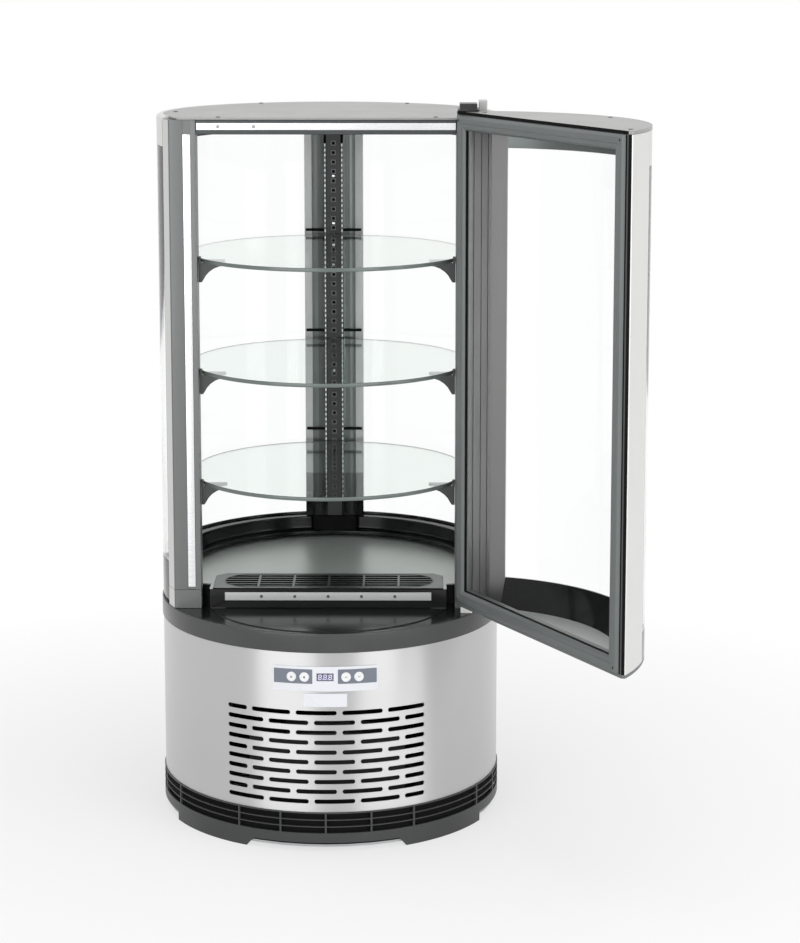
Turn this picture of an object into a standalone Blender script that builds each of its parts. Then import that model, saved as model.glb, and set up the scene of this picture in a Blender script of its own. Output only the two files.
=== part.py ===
"""Round countertop cake display case with a curved glass door, as an assembly of separate pieces.

Metres, +Z up, front towards -Y. The origin lies on the axis of the round base, on the surface that
the case stands on. Angles around that axis count from the front, positive towards +X.
The door is drawn closed, and its axis empty turns it to the open angle in which it is shown.
"""
import math

import bmesh
import bpy
from mathutils import Matrix, Vector

# Driving dimensions: the round plan
CASE_RADIUS = 0.2235          # glass, bands, door and steel shell share this outer radius
FRONT_PLANE = 0.100           # the cabinet is cut flat this far in front of its axis
FACET_DEG = 7.5               # angular width of one facet of a round surface
FIT = 0.0003                  # clearance between neighbours that touch

# Driving dimensions: the base
FOOT_DROP = 0.0115            # the feet reach this far below the plinth ring
FOOT_INNER_DEG = 25.5
FOOT_OUTER_DEG = 62.0
PLINTH_TOP = 0.0516
PLINTH_PROUD = 0.0015
PLINTH_WALL = 0.0030
VENT_ROWS = 3
VENT_LOW = 0.0243             # underside of the lowest vent row
VENT_TOP_LIP = 0.0014
VENT_BAR = 0.0012
VENT_RIB_DEG = 0.6
VENT_CELL_DEG = 15.0
PAN_UNDERSIDE = 0.0055
PAN_THICKNESS = 0.0030
SHELL_HEIGHT = 0.2090
SHELL_WALL = 0.0012
SHELL_SEAM_DEG = 97.5
COLLAR_HEIGHT = 0.0245
COLLAR_PROUD = 0.0015
COLLAR_WALL = 0.0025
COLLAR_LEDGE = 0.0075
COLLAR_LEDGE_THICKNESS = 0.0030

# Driving dimensions: the air slots of the steel shell
SLOT_LENGTH = 0.0523
SLOT_BRIDGE = 0.0071
SLOT_HEIGHT = 0.0058
SLOT_PITCH = 0.01296
SLOT_STAGGER = 0.0180
SLOT_FIELD = 0.2660
SLOT_TOP_DROP = 0.0783        # centre of the top row below the shell's top edge
SLOT_BOTTOM_MARGIN = 0.0125   # least height between the lowest row's centre and the shell's lower edge
REAR_SLOT_FIELD = 0.1700
REAR_SLOT_TOP_DROP = 0.0900
REAR_SLOT_GLAND_GAP = 0.0300  # least height between the gland's axis and the lowest rear row

# Driving dimensions: the control panel
PANEL_LENGTH = 0.1340
PANEL_HEIGHT = 0.0320
PANEL_THICKNESS = 0.0012
PANEL_DROP = 0.0334           # centre of the panel below the shell's top edge
CONTROL_DROP = 0.0309         # centre of buttons and display below the shell's top edge
BUTTON_RADIUS = 0.00625
BUTTON_DEPTH = 0.0075
BUTTON_PROUD = 0.0026         # beyond the shell's outer face
BUTTON_INNER_DEG = 6.74
BUTTON_OUTER_DEG = 10.95
DISPLAY_LENGTH = 0.0210
DISPLAY_HEIGHT = 0.0095
PANEL_CUTOUT_LENGTH = 0.1140
PANEL_CUTOUT_HEIGHT = 0.0220
CONTROL_BOX_HALF = 0.0520
CONTROL_BOX_DEPTH = 0.0220
CONTROL_BOX_HEIGHT = 0.0400
CONTROL_BOX_BACKSET = 0.0130  # front face of the box behind the shell's outer face

# Driving dimensions: the machine in the base
COMPRESSOR_RADIUS = 0.0580
COMPRESSOR_HEIGHT = 0.1350
COMPRESSOR_X = 0.0500
COMPRESSOR_Y = 0.0750
CONDENSER_WIDTH = 0.2000
CONDENSER_DEPTH = 0.0360
CONDENSER_HEIGHT = 0.1300
CONDENSER_BACKSET = 0.0735     # middle of the condenser behind the shell's outer face
FAN_RADIUS = 0.0520
FAN_HUB_RADIUS = 0.0160
FAN_DEPTH = 0.0160
FAN_FRAME_HALF = 0.0600
FAN_FRAME_DEPTH = 0.0300
FAN_TIP_GAP = 0.0020
FAN_HEIGHT = 0.0650           # fan axis above the top of the pan
SHAFT_RADIUS = 0.0030
EVAPORATOR_WIDTH = 0.1700
EVAPORATOR_DEPTH = 0.0900
EVAPORATOR_HEIGHT = 0.0560
EVAPORATOR_Y = 0.0560
COOL_FAN_RADIUS = 0.0340
COOL_FAN_FRAME_HALF = 0.0400
COOL_FAN_FRAME_DEPTH = 0.0240
COOL_FAN_DEPTH = 0.0120
GLAND_HEIGHT = 0.0750         # cable gland above the surface the case stands on
GLAND_NECK_RADIUS = 0.0080
GLAND_HEAD_RADIUS = 0.0120
GLAND_BORE_RADIUS = 0.0040
GLAND_HEAD_LENGTH = 0.0090

# Driving dimensions: cabin floor, deck and bottom channel
FLOOR_THICKNESS = 0.0072
TUB_HEIGHT = 0.0253
TUB_SIDE_GAP = 0.0105          # between the tub's front corner and the post
TUB_SETBACK = 0.0005          # tub front behind the front plane
AIR_HOLE_INSET = 0.0160        # the hole is shorter than the grille by this much at each end
AIR_HOLE_DEPTH = 0.0440
DECK_THICKNESS = 0.0018
DECK_INSET = 0.0027            # the deck's edge behind the tub's
GRILLE_CENTRE = 0.0608        # centre of the air grille in front of the axis
GRILLE_INSET = 0.0140          # slots end this far inside the grille's plate
GRILLE_DEPTH = 0.0620
GRILLE_ROWS = 5
GRILLE_COLUMNS = 6
GRILLE_PITCH = 0.0115
GRILLE_SLOT = 0.0085
GRILLE_BAR = 0.0030
GRILLE_PLATE_FRONT = 0.0995
GRILLE_PLATE_REAR = 0.0220
GRILLE_PLATE_INSET = 0.0045    # plate's end inside the tub's front corner
GRILLE_PLATE_CHAMFER = 0.0130
CHANNEL_GAP = 0.0048          # dark slit between the floor and the bottom channel
CHANNEL_HEIGHT = 0.0525
CHANNEL_WIDTH = 0.0220
CHANNEL_GLASS_STEP = 0.0030
CHANNEL_LEDGE = 0.0155
CHANNEL_LEDGE_TOP = 0.0320    # top of the inner ledge above the channel's underside
CHANNEL_LEDGE_THICKNESS = 0.0060

# Driving dimensions: posts, column, glass, crown and lid
POST_WIDTH = 0.03488           # from the case's front corner inwards
POST_CORNER_CUT = 0.0014
POST_DEPTH = 0.0225
POST_WRAP_DEG = 6.0787         # the post goes this far round behind the front corner
GLASS_THICKNESS = 0.0040
GLASS_HEIGHT = 0.5434
CROWN_HEIGHT = 0.0385
CROWN_PROUD = 0.0003
CROWN_BEVEL = 0.0030
CROWN_RIM = 0.0092             # between the case's outer radius and the lid
LID_THICKNESS = 0.0027
LID_OVERHANG = 0.0010
HEADER_HEIGHT = 0.0184
HEADER_DEPTH = 0.0240
COLUMN_HALF = 0.0405
COLUMN_FACE_HALF = 0.0307
COLUMN_DEPTH = 0.0360
COLUMN_FLANGE_SETBACK = 0.0050
RAIL_HALF = 0.0098
RAIL_THICKNESS = 0.0020
RAIL_HOLE = 0.0040
RAIL_PITCH = 0.01305
RAIL_END = 0.0150

# Driving dimensions: strike strips for the door's magnetic seal
STRIKE_WIDTH = 0.0096
STRIKE_PROUD = 0.0012
STRIKE_RECESS = 0.0010
STRIKE_SIDE_INSET = 0.0122     # middle of a side strip outside the post's inner edge
STRIKE_SIDE_RISE = 0.0040      # lower end above the tub's top
STRIKE_SIDE_TOP_DROP = 0.0213
STRIKE_TOP_WIDTH = 0.0090
STRIKE_TOP_DROP = 0.0082      # centre of the top strip below the header's top
STRIKE_BOTTOM_INSET = 0.0200   # inside the tub's front corner
STRIKE_BOTTOM_WIDTH = 0.0108
STRIKE_BOTTOM_DROP = 0.0089   # centre of the bottom strip below the tub's top

# Driving dimensions: shelves and their supports
SHELF_MARGIN = 0.0055          # between the glass shelves and the column's face
SHELF_THICKNESS = 0.0050
SHELF_RISES = (0.4309, 0.2849, 0.1389)    # tops above the deck
SUPPORT_THICKNESS = 0.0040
SUPPORT_REACH = 0.0340
SUPPORT_DROP = 0.0255
SUPPORT_TOE = 0.0055
SUPPORT_TIP = 0.0040
SUPPORT_CLIP = 0.0030
SUPPORT_CLIP_RISE = 0.0025    # the clip stands this far above the glass
SUPPORT_Y = 0.0850            # side supports in front of the axis

# Driving dimensions: the door
OPEN_DEG = 119.5
HINGE_INSET = 0.01988          # hinge axis inside the case's front corner
HINGE_AHEAD = 0.0165           # hinge axis in front of the front plane
DOOR_BOTTOM_GAP = 0.0088       # door above the floor
DOOR_TOP_RISE = 0.0095         # door's top above the lid
DOOR_PLATE = 0.0040
DOOR_GAP = 0.0066             # rear edge of the door's shell in front of the front plane
DOOR_CORNER_RADIUS = 0.0151   # the hinge corner is rounded about the hinge axis
DOOR_PROFILE_SPAN_DEG = 19.4213    # from the front corner to the end of the door's edge profile
DOOR_REVEAL_SPAN_DEG = 14.1213     # and to the corner of its reveal
DOOR_BAND = 0.0385            # height of the bottom band of the door's skin
DOOR_BAND_LEAN = 0.0275       # the bottom band leans inwards by this much at its foot
DOOR_TOP_BAND = 0.0460
FRAME_INSET = 0.01188          # frame's outer edge inside the case's front corner
FRAME_WIDTH = 0.0205           # side bars
FRAME_BAR = 0.0190
FRAME_THICKNESS = 0.0080
FRAME_BACK_GAP = 0.0098       # rear face of the door frame in front of the front plane
GASKET_INSET = 0.0010          # gasket inside the frame's outer edge
GASKET_WIDTH = 0.0192
GASKET_GAP = 0.0020           # sealing face of the gasket in front of the front plane
GASKET_CHAMFER = 0.0038
PIN_RADIUS = 0.0035
PIN_CLEARANCE = 0.0003
HINGE_BLOCK_HALF = 0.0075
HINGE_PLATE_HALF = 0.0130
HINGE_PLATE_THICKNESS = 0.0024
HINGE_PLATE_FRONT = 0.0130    # plate in front of the hinge axis
HINGE_PLATE_BACK = 0.0325     # plate behind the hinge axis
HINGE_HEAD_HEIGHT = 0.0070
HINGE_FOOT_DEPTH = 0.0145
HINGE_COVER_WIDTH = 0.0110
HINGE_COVER_HEIGHT = 0.0225    # cover's top above the lid

# Places worked out from the sizes above
SHELL_BOTTOM = PLINTH_TOP + FIT
SHELL_TOP = SHELL_BOTTOM + SHELL_HEIGHT
SLOT_ROWS = 1 + int((SHELL_HEIGHT - SLOT_TOP_DROP - SLOT_BOTTOM_MARGIN) / SLOT_PITCH)
COLLAR_BOTTOM = SHELL_TOP + FIT
FLOOR_TOP = COLLAR_BOTTOM + COLLAR_HEIGHT
FLOOR_BOTTOM = FLOOR_TOP - FLOOR_THICKNESS
TUB_TOP = FLOOR_TOP + TUB_HEIGHT
DECK_BOTTOM = TUB_TOP + FIT
DECK_TOP = DECK_BOTTOM + DECK_THICKNESS
CHANNEL_BOTTOM = FLOOR_TOP + CHANNEL_GAP
CHANNEL_TOP = CHANNEL_BOTTOM + CHANNEL_HEIGHT
GLASS_BOTTOM = CHANNEL_TOP + FIT
GLASS_TOP = GLASS_BOTTOM + GLASS_HEIGHT
CROWN_BOTTOM = GLASS_TOP + FIT
CROWN_TOP = CROWN_BOTTOM + CROWN_HEIGHT
LID_TOP = CROWN_TOP
LID_BOTTOM = LID_TOP - LID_THICKNESS
SEAT_TOP = LID_BOTTOM - FIT                      # what carries the lid
REAR_SLOT_ROWS = 1 + int((SHELL_TOP - REAR_SLOT_TOP_DROP - GLAND_HEIGHT - REAR_SLOT_GLAND_GAP) / SLOT_PITCH)
PAN_TOP = PAN_UNDERSIDE + PAN_THICKNESS
CONTROL_Z = SHELL_TOP - CONTROL_DROP
SHELF_TOPS = tuple(DECK_TOP + rise for rise in SHELF_RISES)
STRIKE_SIDE_LOW = TUB_TOP + STRIKE_SIDE_RISE
HINGE_COVER_TOP = LID_TOP + HINGE_COVER_HEIGHT
DOOR_BOTTOM = FLOOR_TOP + DOOR_BOTTOM_GAP
DOOR_TOP = LID_TOP + DOOR_TOP_RISE
CORNER_X = math.sqrt(CASE_RADIUS ** 2 - FRONT_PLANE ** 2)    # front corner of the case
GLASS_INNER = CASE_RADIUS - GLASS_THICKNESS
CHANNEL_INNER = CASE_RADIUS - CHANNEL_WIDTH
CHANNEL_LEDGE_RADIUS = CHANNEL_INNER - CHANNEL_LEDGE
LID_RADIUS = CASE_RADIUS - CROWN_RIM
TUB_RADIUS = CHANNEL_INNER - FIT
DECK_RADIUS = TUB_RADIUS - DECK_INSET
POST_INNER = CORNER_X - POST_WIDTH
TUB_HALF_FRONT = POST_INNER - TUB_SIDE_GAP
GRILLE_PLATE_HALF = TUB_HALF_FRONT - GRILLE_PLATE_INSET
GRILLE_LENGTH = 2 * (GRILLE_PLATE_HALF - GRILLE_INSET)
AIR_HOLE_LENGTH = GRILLE_LENGTH - 2 * AIR_HOLE_INSET
STRIKE_SIDE_X = POST_INNER + STRIKE_SIDE_INSET
STRIKE_BOTTOM_HALF = TUB_HALF_FRONT - STRIKE_BOTTOM_INSET
COLUMN_FRONT = CASE_RADIUS - COLUMN_DEPTH
SHELF_RADIUS = COLUMN_FRONT - SHELF_MARGIN
CONDENSER_Y = CONDENSER_BACKSET - CASE_RADIUS
FIT_DEG = math.degrees(FIT / CASE_RADIUS)
CORNER_DEG = math.degrees(math.atan2(CORNER_X, FRONT_PLANE))
POST_END_DEG = CORNER_DEG + POST_WRAP_DEG
DOOR_PROFILE_DEG = CORNER_DEG - DOOR_PROFILE_SPAN_DEG
DOOR_REVEAL_DEG = CORNER_DEG - DOOR_REVEAL_SPAN_DEG
RING_START_DEG = POST_END_DEG + 2 * FIT_DEG      # rings and glass begin behind the posts
COLUMN_EDGE_DEG = 180 - math.degrees(math.asin((COLUMN_HALF + FIT) / GLASS_INNER))
DOOR_SKIN_BOTTOM = DOOR_BOTTOM + DOOR_PLATE + FIT
DOOR_SKIN_TOP = DOOR_TOP - DOOR_PLATE - FIT
DOOR_GLASS_BOTTOM = DOOR_BOTTOM + DOOR_BAND + FIT
DOOR_GLASS_TOP = DOOR_TOP - DOOR_TOP_BAND - FIT
DOOR_REBATE = FRONT_PLANE + DOOR_GAP
DOOR_BAND_FOOT = GLASS_INNER - DOOR_BAND_LEAN
FRAME_OUTER = CORNER_X - FRAME_INSET
FRAME_INNER = FRAME_OUTER - FRAME_WIDTH
FRAME_FACE = FRONT_PLANE + FRAME_BACK_GAP        # rear face of the frame in front of the axis
GASKET_OUTER = FRAME_OUTER - GASKET_INSET
GASKET_FACE = FRONT_PLANE + GASKET_GAP           # sealing face in front of the axis
HINGE_X = CORNER_X - HINGE_INSET
HINGE_Y = -FRONT_PLANE - HINGE_AHEAD
HINGE = Vector((HINGE_X, HINGE_Y, 0.0))
HINGE_REACH = HINGE.length
# The case circle meets the rounded hinge corner where the triangle axis, hinge, corner closes.
DOOR_CORNER_DEG = math.degrees(math.atan2(HINGE_X, -HINGE_Y)) + math.degrees(math.acos(
    (CASE_RADIUS ** 2 + HINGE_REACH ** 2 - DOOR_CORNER_RADIUS ** 2) / (2 * CASE_RADIUS * HINGE_REACH)))

FINISHES = {
    "brushed_steel": ((0.62, 0.62, 0.61), 0.32, 1.0),
    "silver_paint": ((0.58, 0.58, 0.56), 0.40, 0.3),
    "dark_plastic": ((0.055, 0.058, 0.058), 0.35, 0.0),
    "black_gloss": ((0.012, 0.013, 0.013), 0.12, 0.0),
    "grey_profile": ((0.20, 0.21, 0.21), 0.42, 0.2),
    "strike_steel": ((0.78, 0.79, 0.79), 0.25, 1.0),
    "clear_glass": ((0.86, 0.93, 0.90), 0.02, 0.0),
    "rubber": ((0.15, 0.16, 0.16), 0.60, 0.0),
    "white_nylon": ((0.82, 0.82, 0.80), 0.45, 0.0),
    "panel_film": ((0.70, 0.71, 0.72), 0.35, 0.0),
    "button_white": ((0.85, 0.85, 0.85), 0.30, 0.0),
    "display_window": ((0.10, 0.10, 0.13), 0.15, 0.0),
    "black_steel": ((0.02, 0.02, 0.02), 0.40, 0.6),
    "compressor_paint": ((0.015, 0.015, 0.015), 0.35, 0.3),
    "fin_aluminium": ((0.70, 0.71, 0.72), 0.35, 1.0),
    "fan_plastic": ((0.03, 0.03, 0.03), 0.45, 0.0),
    "galvanised": ((0.45, 0.46, 0.47), 0.45, 0.9),
}


def finish(name):
    """Return the named material, made on first use."""
    material = bpy.data.materials.get(name)
    if material is None:
        color, roughness, metallic = FINISHES[name]
        material = bpy.data.materials.new(name)
        material.use_nodes = True
        shader = material.node_tree.nodes["Principled BSDF"]
        shader.inputs["Base Color"].default_value = (*color, 1.0)
        shader.inputs["Roughness"].default_value = roughness
        shader.inputs["Metallic"].default_value = metallic
        if name == "clear_glass":
            shader.inputs["Transmission Weight"].default_value = 1.0
        material.diffuse_color = (*color, 1.0)
    return material


def face_outward(bm):
    """Make the faces of one closed body agree and point away from its inside."""
    bmesh.ops.recalc_face_normals(bm, faces=bm.faces[:])
    if bm.calc_volume(signed=True) < 0:
        bmesh.ops.reverse_faces(bm, faces=bm.faces[:])


def mesh_object(name, bm, finish_name):
    """Turn a bmesh into a named object with outward faces and one material."""
    face_outward(bm)
    mesh = bpy.data.meshes.new(name)
    bm.to_mesh(mesh)
    bm.free()
    mesh.materials.append(finish(finish_name))
    mesh.shade_smooth()
    mesh.set_sharp_from_angle(angle=math.radians(30))
    obj = bpy.data.objects.new(name, mesh)
    bpy.context.scene.collection.objects.link(obj)
    return obj


def on_circle(radius, degrees):
    """Point of the plan at an angle counted from the front, positive towards +X."""
    angle = math.radians(degrees)
    return (radius * math.sin(angle), -radius * math.cos(angle))


def on_facets(radius, degrees):
    """Point on the faceted outline: on the chord between the two neighbouring facet corners."""
    step = math.floor(degrees / FACET_DEG + 1e-9)
    share = degrees / FACET_DEG - step
    first = Vector(on_circle(radius, step * FACET_DEG))
    second = Vector(on_circle(radius, (step + 1) * FACET_DEG))
    return tuple(first.lerp(second, max(share, 0.0)))


def arc(radius, start, end):
    """Points of an arc from start to end degrees, with a vertex at every facet corner between."""
    low, high = min(start, end), max(start, end)
    first = math.floor(low / FACET_DEG) + 1
    last = math.ceil(high / FACET_DEG) - 1
    steps = [low] + [k * FACET_DEG for k in range(first, last + 1)] + [high]
    if end < start:
        steps.reverse()
    return [on_facets(radius, a) for a in steps]


def circle(radius, count, centre=(0.0, 0.0)):
    """Points of a full circle, first point towards the front."""
    turns = [360.0 * k / count for k in range(count)]
    return [(centre[0] + x, centre[1] + y) for x, y in (on_circle(radius, a) for a in turns)]


def rectangle(x0, x1, y0, y1):
    return [(x0, y0), (x1, y0), (x1, y1), (x0, y1)]


def mirrored(outline):
    """An outline of the right half followed by its mirror image, for a left-right symmetric plan."""
    return outline + [(-x, y) for x, y in reversed(outline)]


AXIS_POINT = {
    "X": lambda a, b, c: (c, a, b),
    "Y": lambda a, b, c: (a, c, b),
    "Z": lambda a, b, c: (a, b, c),
}


def add_prism(bm, outline, low, high, axis="Z"):
    """Add a closed prism to a bmesh: the outline carried along an axis from low to high."""
    point = AXIS_POINT[axis]
    bottom = [bm.verts.new(point(a, b, low)) for a, b in outline]
    top = [bm.verts.new(point(a, b, high)) for a, b in outline]
    bm.faces.new(bottom)
    bm.faces.new(reversed(top))
    count = len(outline)
    for i in range(count):
        j = (i + 1) % count
        bm.faces.new((bottom[i], top[i], top[j], bottom[j]))


def prism(name, outline, low, high, finish_name, axis="Z"):
    bm = bmesh.new()
    add_prism(bm, outline, low, high, axis)
    return mesh_object(name, bm, finish_name)


def box(name, x, y, z, finish_name):
    return prism(name, rectangle(x[0], x[1], y[0], y[1]), z[0], z[1], finish_name)


def revolved(name, profile, start, end, finish_name):
    """Carry a closed (radius, height) profile around the axis, capped unless it is a full turn."""
    bm = bmesh.new()
    rings = []
    full = end - start >= 360
    sections = arc(1.0, start, end)
    if full:
        sections = sections[:-1]
    for x, y in sections:
        rings.append([bm.verts.new((r * x, r * y, z)) for r, z in profile])
    count = len(profile)
    pairs = list(zip(rings, rings[1:]))
    if full:
        pairs.append((rings[-1], rings[0]))
    for ring, following in pairs:
        for i in range(count):
            j = (i + 1) % count
            bm.faces.new((ring[i], following[i], following[j], ring[j]))
    if not full:
        bm.faces.new(rings[0])
        bm.faces.new(reversed(rings[-1]))
    return mesh_object(name, bm, finish_name)


def combine(obj, tool_mesh, operation):
    """Apply an exact Boolean with a tool given as a bmesh, and keep the result on the object."""
    face_outward(tool_mesh)
    mesh = bpy.data.meshes.new("tool")
    tool_mesh.to_mesh(mesh)
    tool_mesh.free()
    tool = bpy.data.objects.new("tool", mesh)
    bpy.context.scene.collection.objects.link(tool)
    modifier = obj.modifiers.new("boolean", "BOOLEAN")
    modifier.operation = operation
    modifier.solver = "EXACT"
    modifier.object = tool
    graph = bpy.context.evaluated_depsgraph_get()
    result = bpy.data.meshes.new_from_object(obj.evaluated_get(graph))
    obj.modifiers.clear()
    old = obj.data
    obj.data = result
    result.name = obj.name
    bpy.data.meshes.remove(old)
    bpy.data.objects.remove(tool)
    bpy.data.meshes.remove(mesh)
    return obj


def prisms(pieces, low, high, axis="Z"):
    """A bmesh of several prisms of equal length that don't meet, used as one cutter."""
    bm = bmesh.new()
    for outline in pieces:
        add_prism(bm, outline, low, high, axis)
    return bm


def slot_outline(start, end, centre, height):
    """A long hole with rounded ends, as an eight-point outline."""
    half = height / 2
    cut = half * 0.45
    return [(start + cut, centre - half), (end - cut, centre - half), (end, centre - cut),
            (end, centre + cut), (end - cut, centre + half), (start + cut, centre + half),
            (start, centre + cut), (start, centre - cut)]


def bend(obj, radius, centre_deg):
    """Wrap a flat plate (length along X, depth along Y, height along Z) onto the round base.

    The plate is cut at every facet and each strip is laid on its chord, so strips stay flat.
    """
    bm = bmesh.new()
    bm.from_mesh(obj.data)
    facet = math.radians(FACET_DEG)
    chord = radius * facet
    lengths = [v.co.x for v in bm.verts]
    for k in range(math.ceil(min(lengths) / chord), math.floor(max(lengths) / chord) + 1):
        geometry = bm.verts[:] + bm.edges[:] + bm.faces[:]
        bmesh.ops.bisect_plane(bm, geom=geometry, dist=1e-7, plane_co=(k * chord, 0, 0),
                               plane_no=(1, 0, 0))
    for vertex in bm.verts:
        along, depth, height = vertex.co
        step = math.floor(along / chord + 1e-6)
        share = along / chord - step
        first = Vector(on_circle(radius - depth, math.degrees(step * facet) + centre_deg))
        second = Vector(on_circle(radius - depth, math.degrees((step + 1) * facet) + centre_deg))
        place = first.lerp(second, share)
        vertex.co = (place.x, place.y, height)
    face_outward(bm)
    bm.to_mesh(obj.data)
    bm.free()
    obj.data.shade_smooth()
    obj.data.set_sharp_from_angle(angle=math.radians(30))
    return obj


def bent_plate(name, half_length, low, high, radius, thickness, holes, centre_deg, finish_name):
    """A plate of the round shell with holes, drawn flat, cut and then wrapped."""
    plate = prism(name, rectangle(-half_length, half_length, low, high), 0.0, thickness,
                  finish_name, axis="Y")
    if holes:
        combine(plate, prisms(holes, -thickness, 2 * thickness, axis="Y"), "DIFFERENCE")
    return bend(plate, radius, centre_deg)


def vent_slots(field, rows, top):
    """Staggered rows of long holes, clipped to the field's width."""
    period = SLOT_LENGTH + SLOT_BRIDGE
    half = field / 2
    slots = []
    for row in range(rows):
        phase = SLOT_STAGGER if row % 2 == 0 else -SLOT_STAGGER
        reach = math.ceil(half / period) + 1
        for k in range(-reach, reach):
            start = max(phase + k * period + SLOT_BRIDGE / 2, -half)
            end = min(phase + (k + 1) * period - SLOT_BRIDGE / 2, half)
            if end - start > 1.5 * SLOT_HEIGHT:
                slots.append(slot_outline(start, end, top - row * SLOT_PITCH, SLOT_HEIGHT))
    return slots


def make_plinth():
    """Ring with feet, and vent rows divided by thin bars and ribs, with no ribs over the feet."""
    outer = CASE_RADIUS + PLINTH_PROUD
    inner = outer - PLINTH_WALL
    row_top = PLINTH_TOP - VENT_TOP_LIP
    row = (row_top - VENT_LOW - (VENT_ROWS - 1) * VENT_BAR) / VENT_ROWS
    heights = [0.0, FOOT_DROP]
    for k in range(VENT_ROWS):
        heights += [VENT_LOW + k * (row + VENT_BAR), VENT_LOW + k * (row + VENT_BAR) + row]
    heights.append(PLINTH_TOP)
    cells = round(360 / VENT_CELL_DEG)
    marks = set()
    for k in range(cells):
        start = k * VENT_CELL_DEG
        marks |= {start + VENT_RIB_DEG / 2, start + VENT_CELL_DEG / 2,
                  start + VENT_CELL_DEG - VENT_RIB_DEG / 2}
    for quarter in (0, 180):
        for side in (1, -1):
            marks |= {(quarter + side * FOOT_INNER_DEG) % 360, (quarter + side * FOOT_OUTER_DEG) % 360}
    marks = sorted(marks)

    def from_front_or_back(angle):
        angle = angle % 180
        return min(angle, 180 - angle)

    def is_solid(middle, band):
        away = from_front_or_back(middle)
        if band == 0:
            return FOOT_INNER_DEG < away < FOOT_OUTER_DEG
        if band % 2 == 1 or band >= len(heights) - 2:
            return True
        nearest = round(middle / VENT_CELL_DEG) * VENT_CELL_DEG
        on_rib = abs(middle - nearest) < VENT_RIB_DEG / 2
        return on_rib and abs(from_front_or_back(nearest) - 45) > 1

    columns = len(marks)
    bands = len(heights) - 1
    solid = []
    for i in range(columns):
        end = marks[(i + 1) % columns] + (360 if i == columns - 1 else 0)
        solid.append([is_solid((marks[i] + end) / 2, j) for j in range(bands)])
    bm = bmesh.new()
    grid = {}

    def vertex(radius, i, j):
        key = (radius, i % columns, j)
        if key not in grid:
            x, y = on_circle(radius, marks[i % columns])
            grid[key] = bm.verts.new((x, y, heights[j]))
        return grid[key]

    for i in range(columns):
        for j in range(bands):
            if not solid[i][j]:
                continue
            for radius in (outer, inner):
                bm.faces.new((vertex(radius, i, j), vertex(radius, i + 1, j),
                              vertex(radius, i + 1, j + 1), vertex(radius, i, j + 1)))
            if j == 0 or not solid[i][j - 1]:
                bm.faces.new((vertex(outer, i, j), vertex(outer, i + 1, j),
                              vertex(inner, i + 1, j), vertex(inner, i, j)))
            if j == bands - 1 or not solid[i][j + 1]:
                bm.faces.new((vertex(outer, i, j + 1), vertex(outer, i + 1, j + 1),
                              vertex(inner, i + 1, j + 1), vertex(inner, i, j + 1)))
            if not solid[i - 1][j]:
                bm.faces.new((vertex(outer, i, j), vertex(outer, i, j + 1),
                              vertex(inner, i, j + 1), vertex(inner, i, j)))
            if not solid[(i + 1) % columns][j]:
                bm.faces.new((vertex(outer, i + 1, j), vertex(outer, i + 1, j + 1),
                              vertex(inner, i + 1, j + 1), vertex(inner, i + 1, j)))
    bmesh.ops.dissolve_limit(bm, angle_limit=math.radians(0.05), verts=bm.verts[:], edges=bm.edges[:])
    return mesh_object("plinth_ring", bm, "dark_plastic")


def make_base_shells():
    """Front and rear halves of the steel shell, both with air slots."""
    half = math.radians(SHELL_SEAM_DEG) * CASE_RADIUS - FIT
    holes = vent_slots(SLOT_FIELD, SLOT_ROWS, SHELL_TOP - SLOT_TOP_DROP)
    cut = PANEL_CUTOUT_LENGTH / 2
    holes.append(rectangle(-cut, cut, CONTROL_Z - PANEL_CUTOUT_HEIGHT / 2,
                           CONTROL_Z + PANEL_CUTOUT_HEIGHT / 2))
    bent_plate("base_shell_front", half, SHELL_BOTTOM, SHELL_TOP, CASE_RADIUS, SHELL_WALL,
               holes, 0.0, "brushed_steel")
    half = math.radians(180 - SHELL_SEAM_DEG) * CASE_RADIUS - FIT
    holes = vent_slots(REAR_SLOT_FIELD, REAR_SLOT_ROWS, SHELL_TOP - REAR_SLOT_TOP_DROP)
    holes.append(circle(GLAND_NECK_RADIUS + FIT, 16, (0.0, GLAND_HEIGHT)))
    bent_plate("base_shell_rear", half, SHELL_BOTTOM, SHELL_TOP, CASE_RADIUS, SHELL_WALL,
               holes, 180.0, "brushed_steel")


def make_base_rings():
    pan_radius = CASE_RADIUS + PLINTH_PROUD - PLINTH_WALL - FIT
    prism("base_pan", arc(pan_radius, 0, 360)[:-1], PAN_UNDERSIDE, PAN_TOP, "galvanised")
    outer = CASE_RADIUS + COLLAR_PROUD
    inner = outer - COLLAR_WALL
    ledge_top = FLOOR_BOTTOM - FIT
    ledge_low = ledge_top - COLLAR_LEDGE_THICKNESS
    profile = [(outer, COLLAR_BOTTOM), (outer, FLOOR_TOP), (inner, FLOOR_TOP), (inner, ledge_top),
               (inner - COLLAR_LEDGE, ledge_top), (inner - COLLAR_LEDGE, ledge_low),
               (inner, ledge_low), (inner, COLLAR_BOTTOM)]
    revolved("collar_ring", profile, 0, 360, "dark_plastic")


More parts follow.
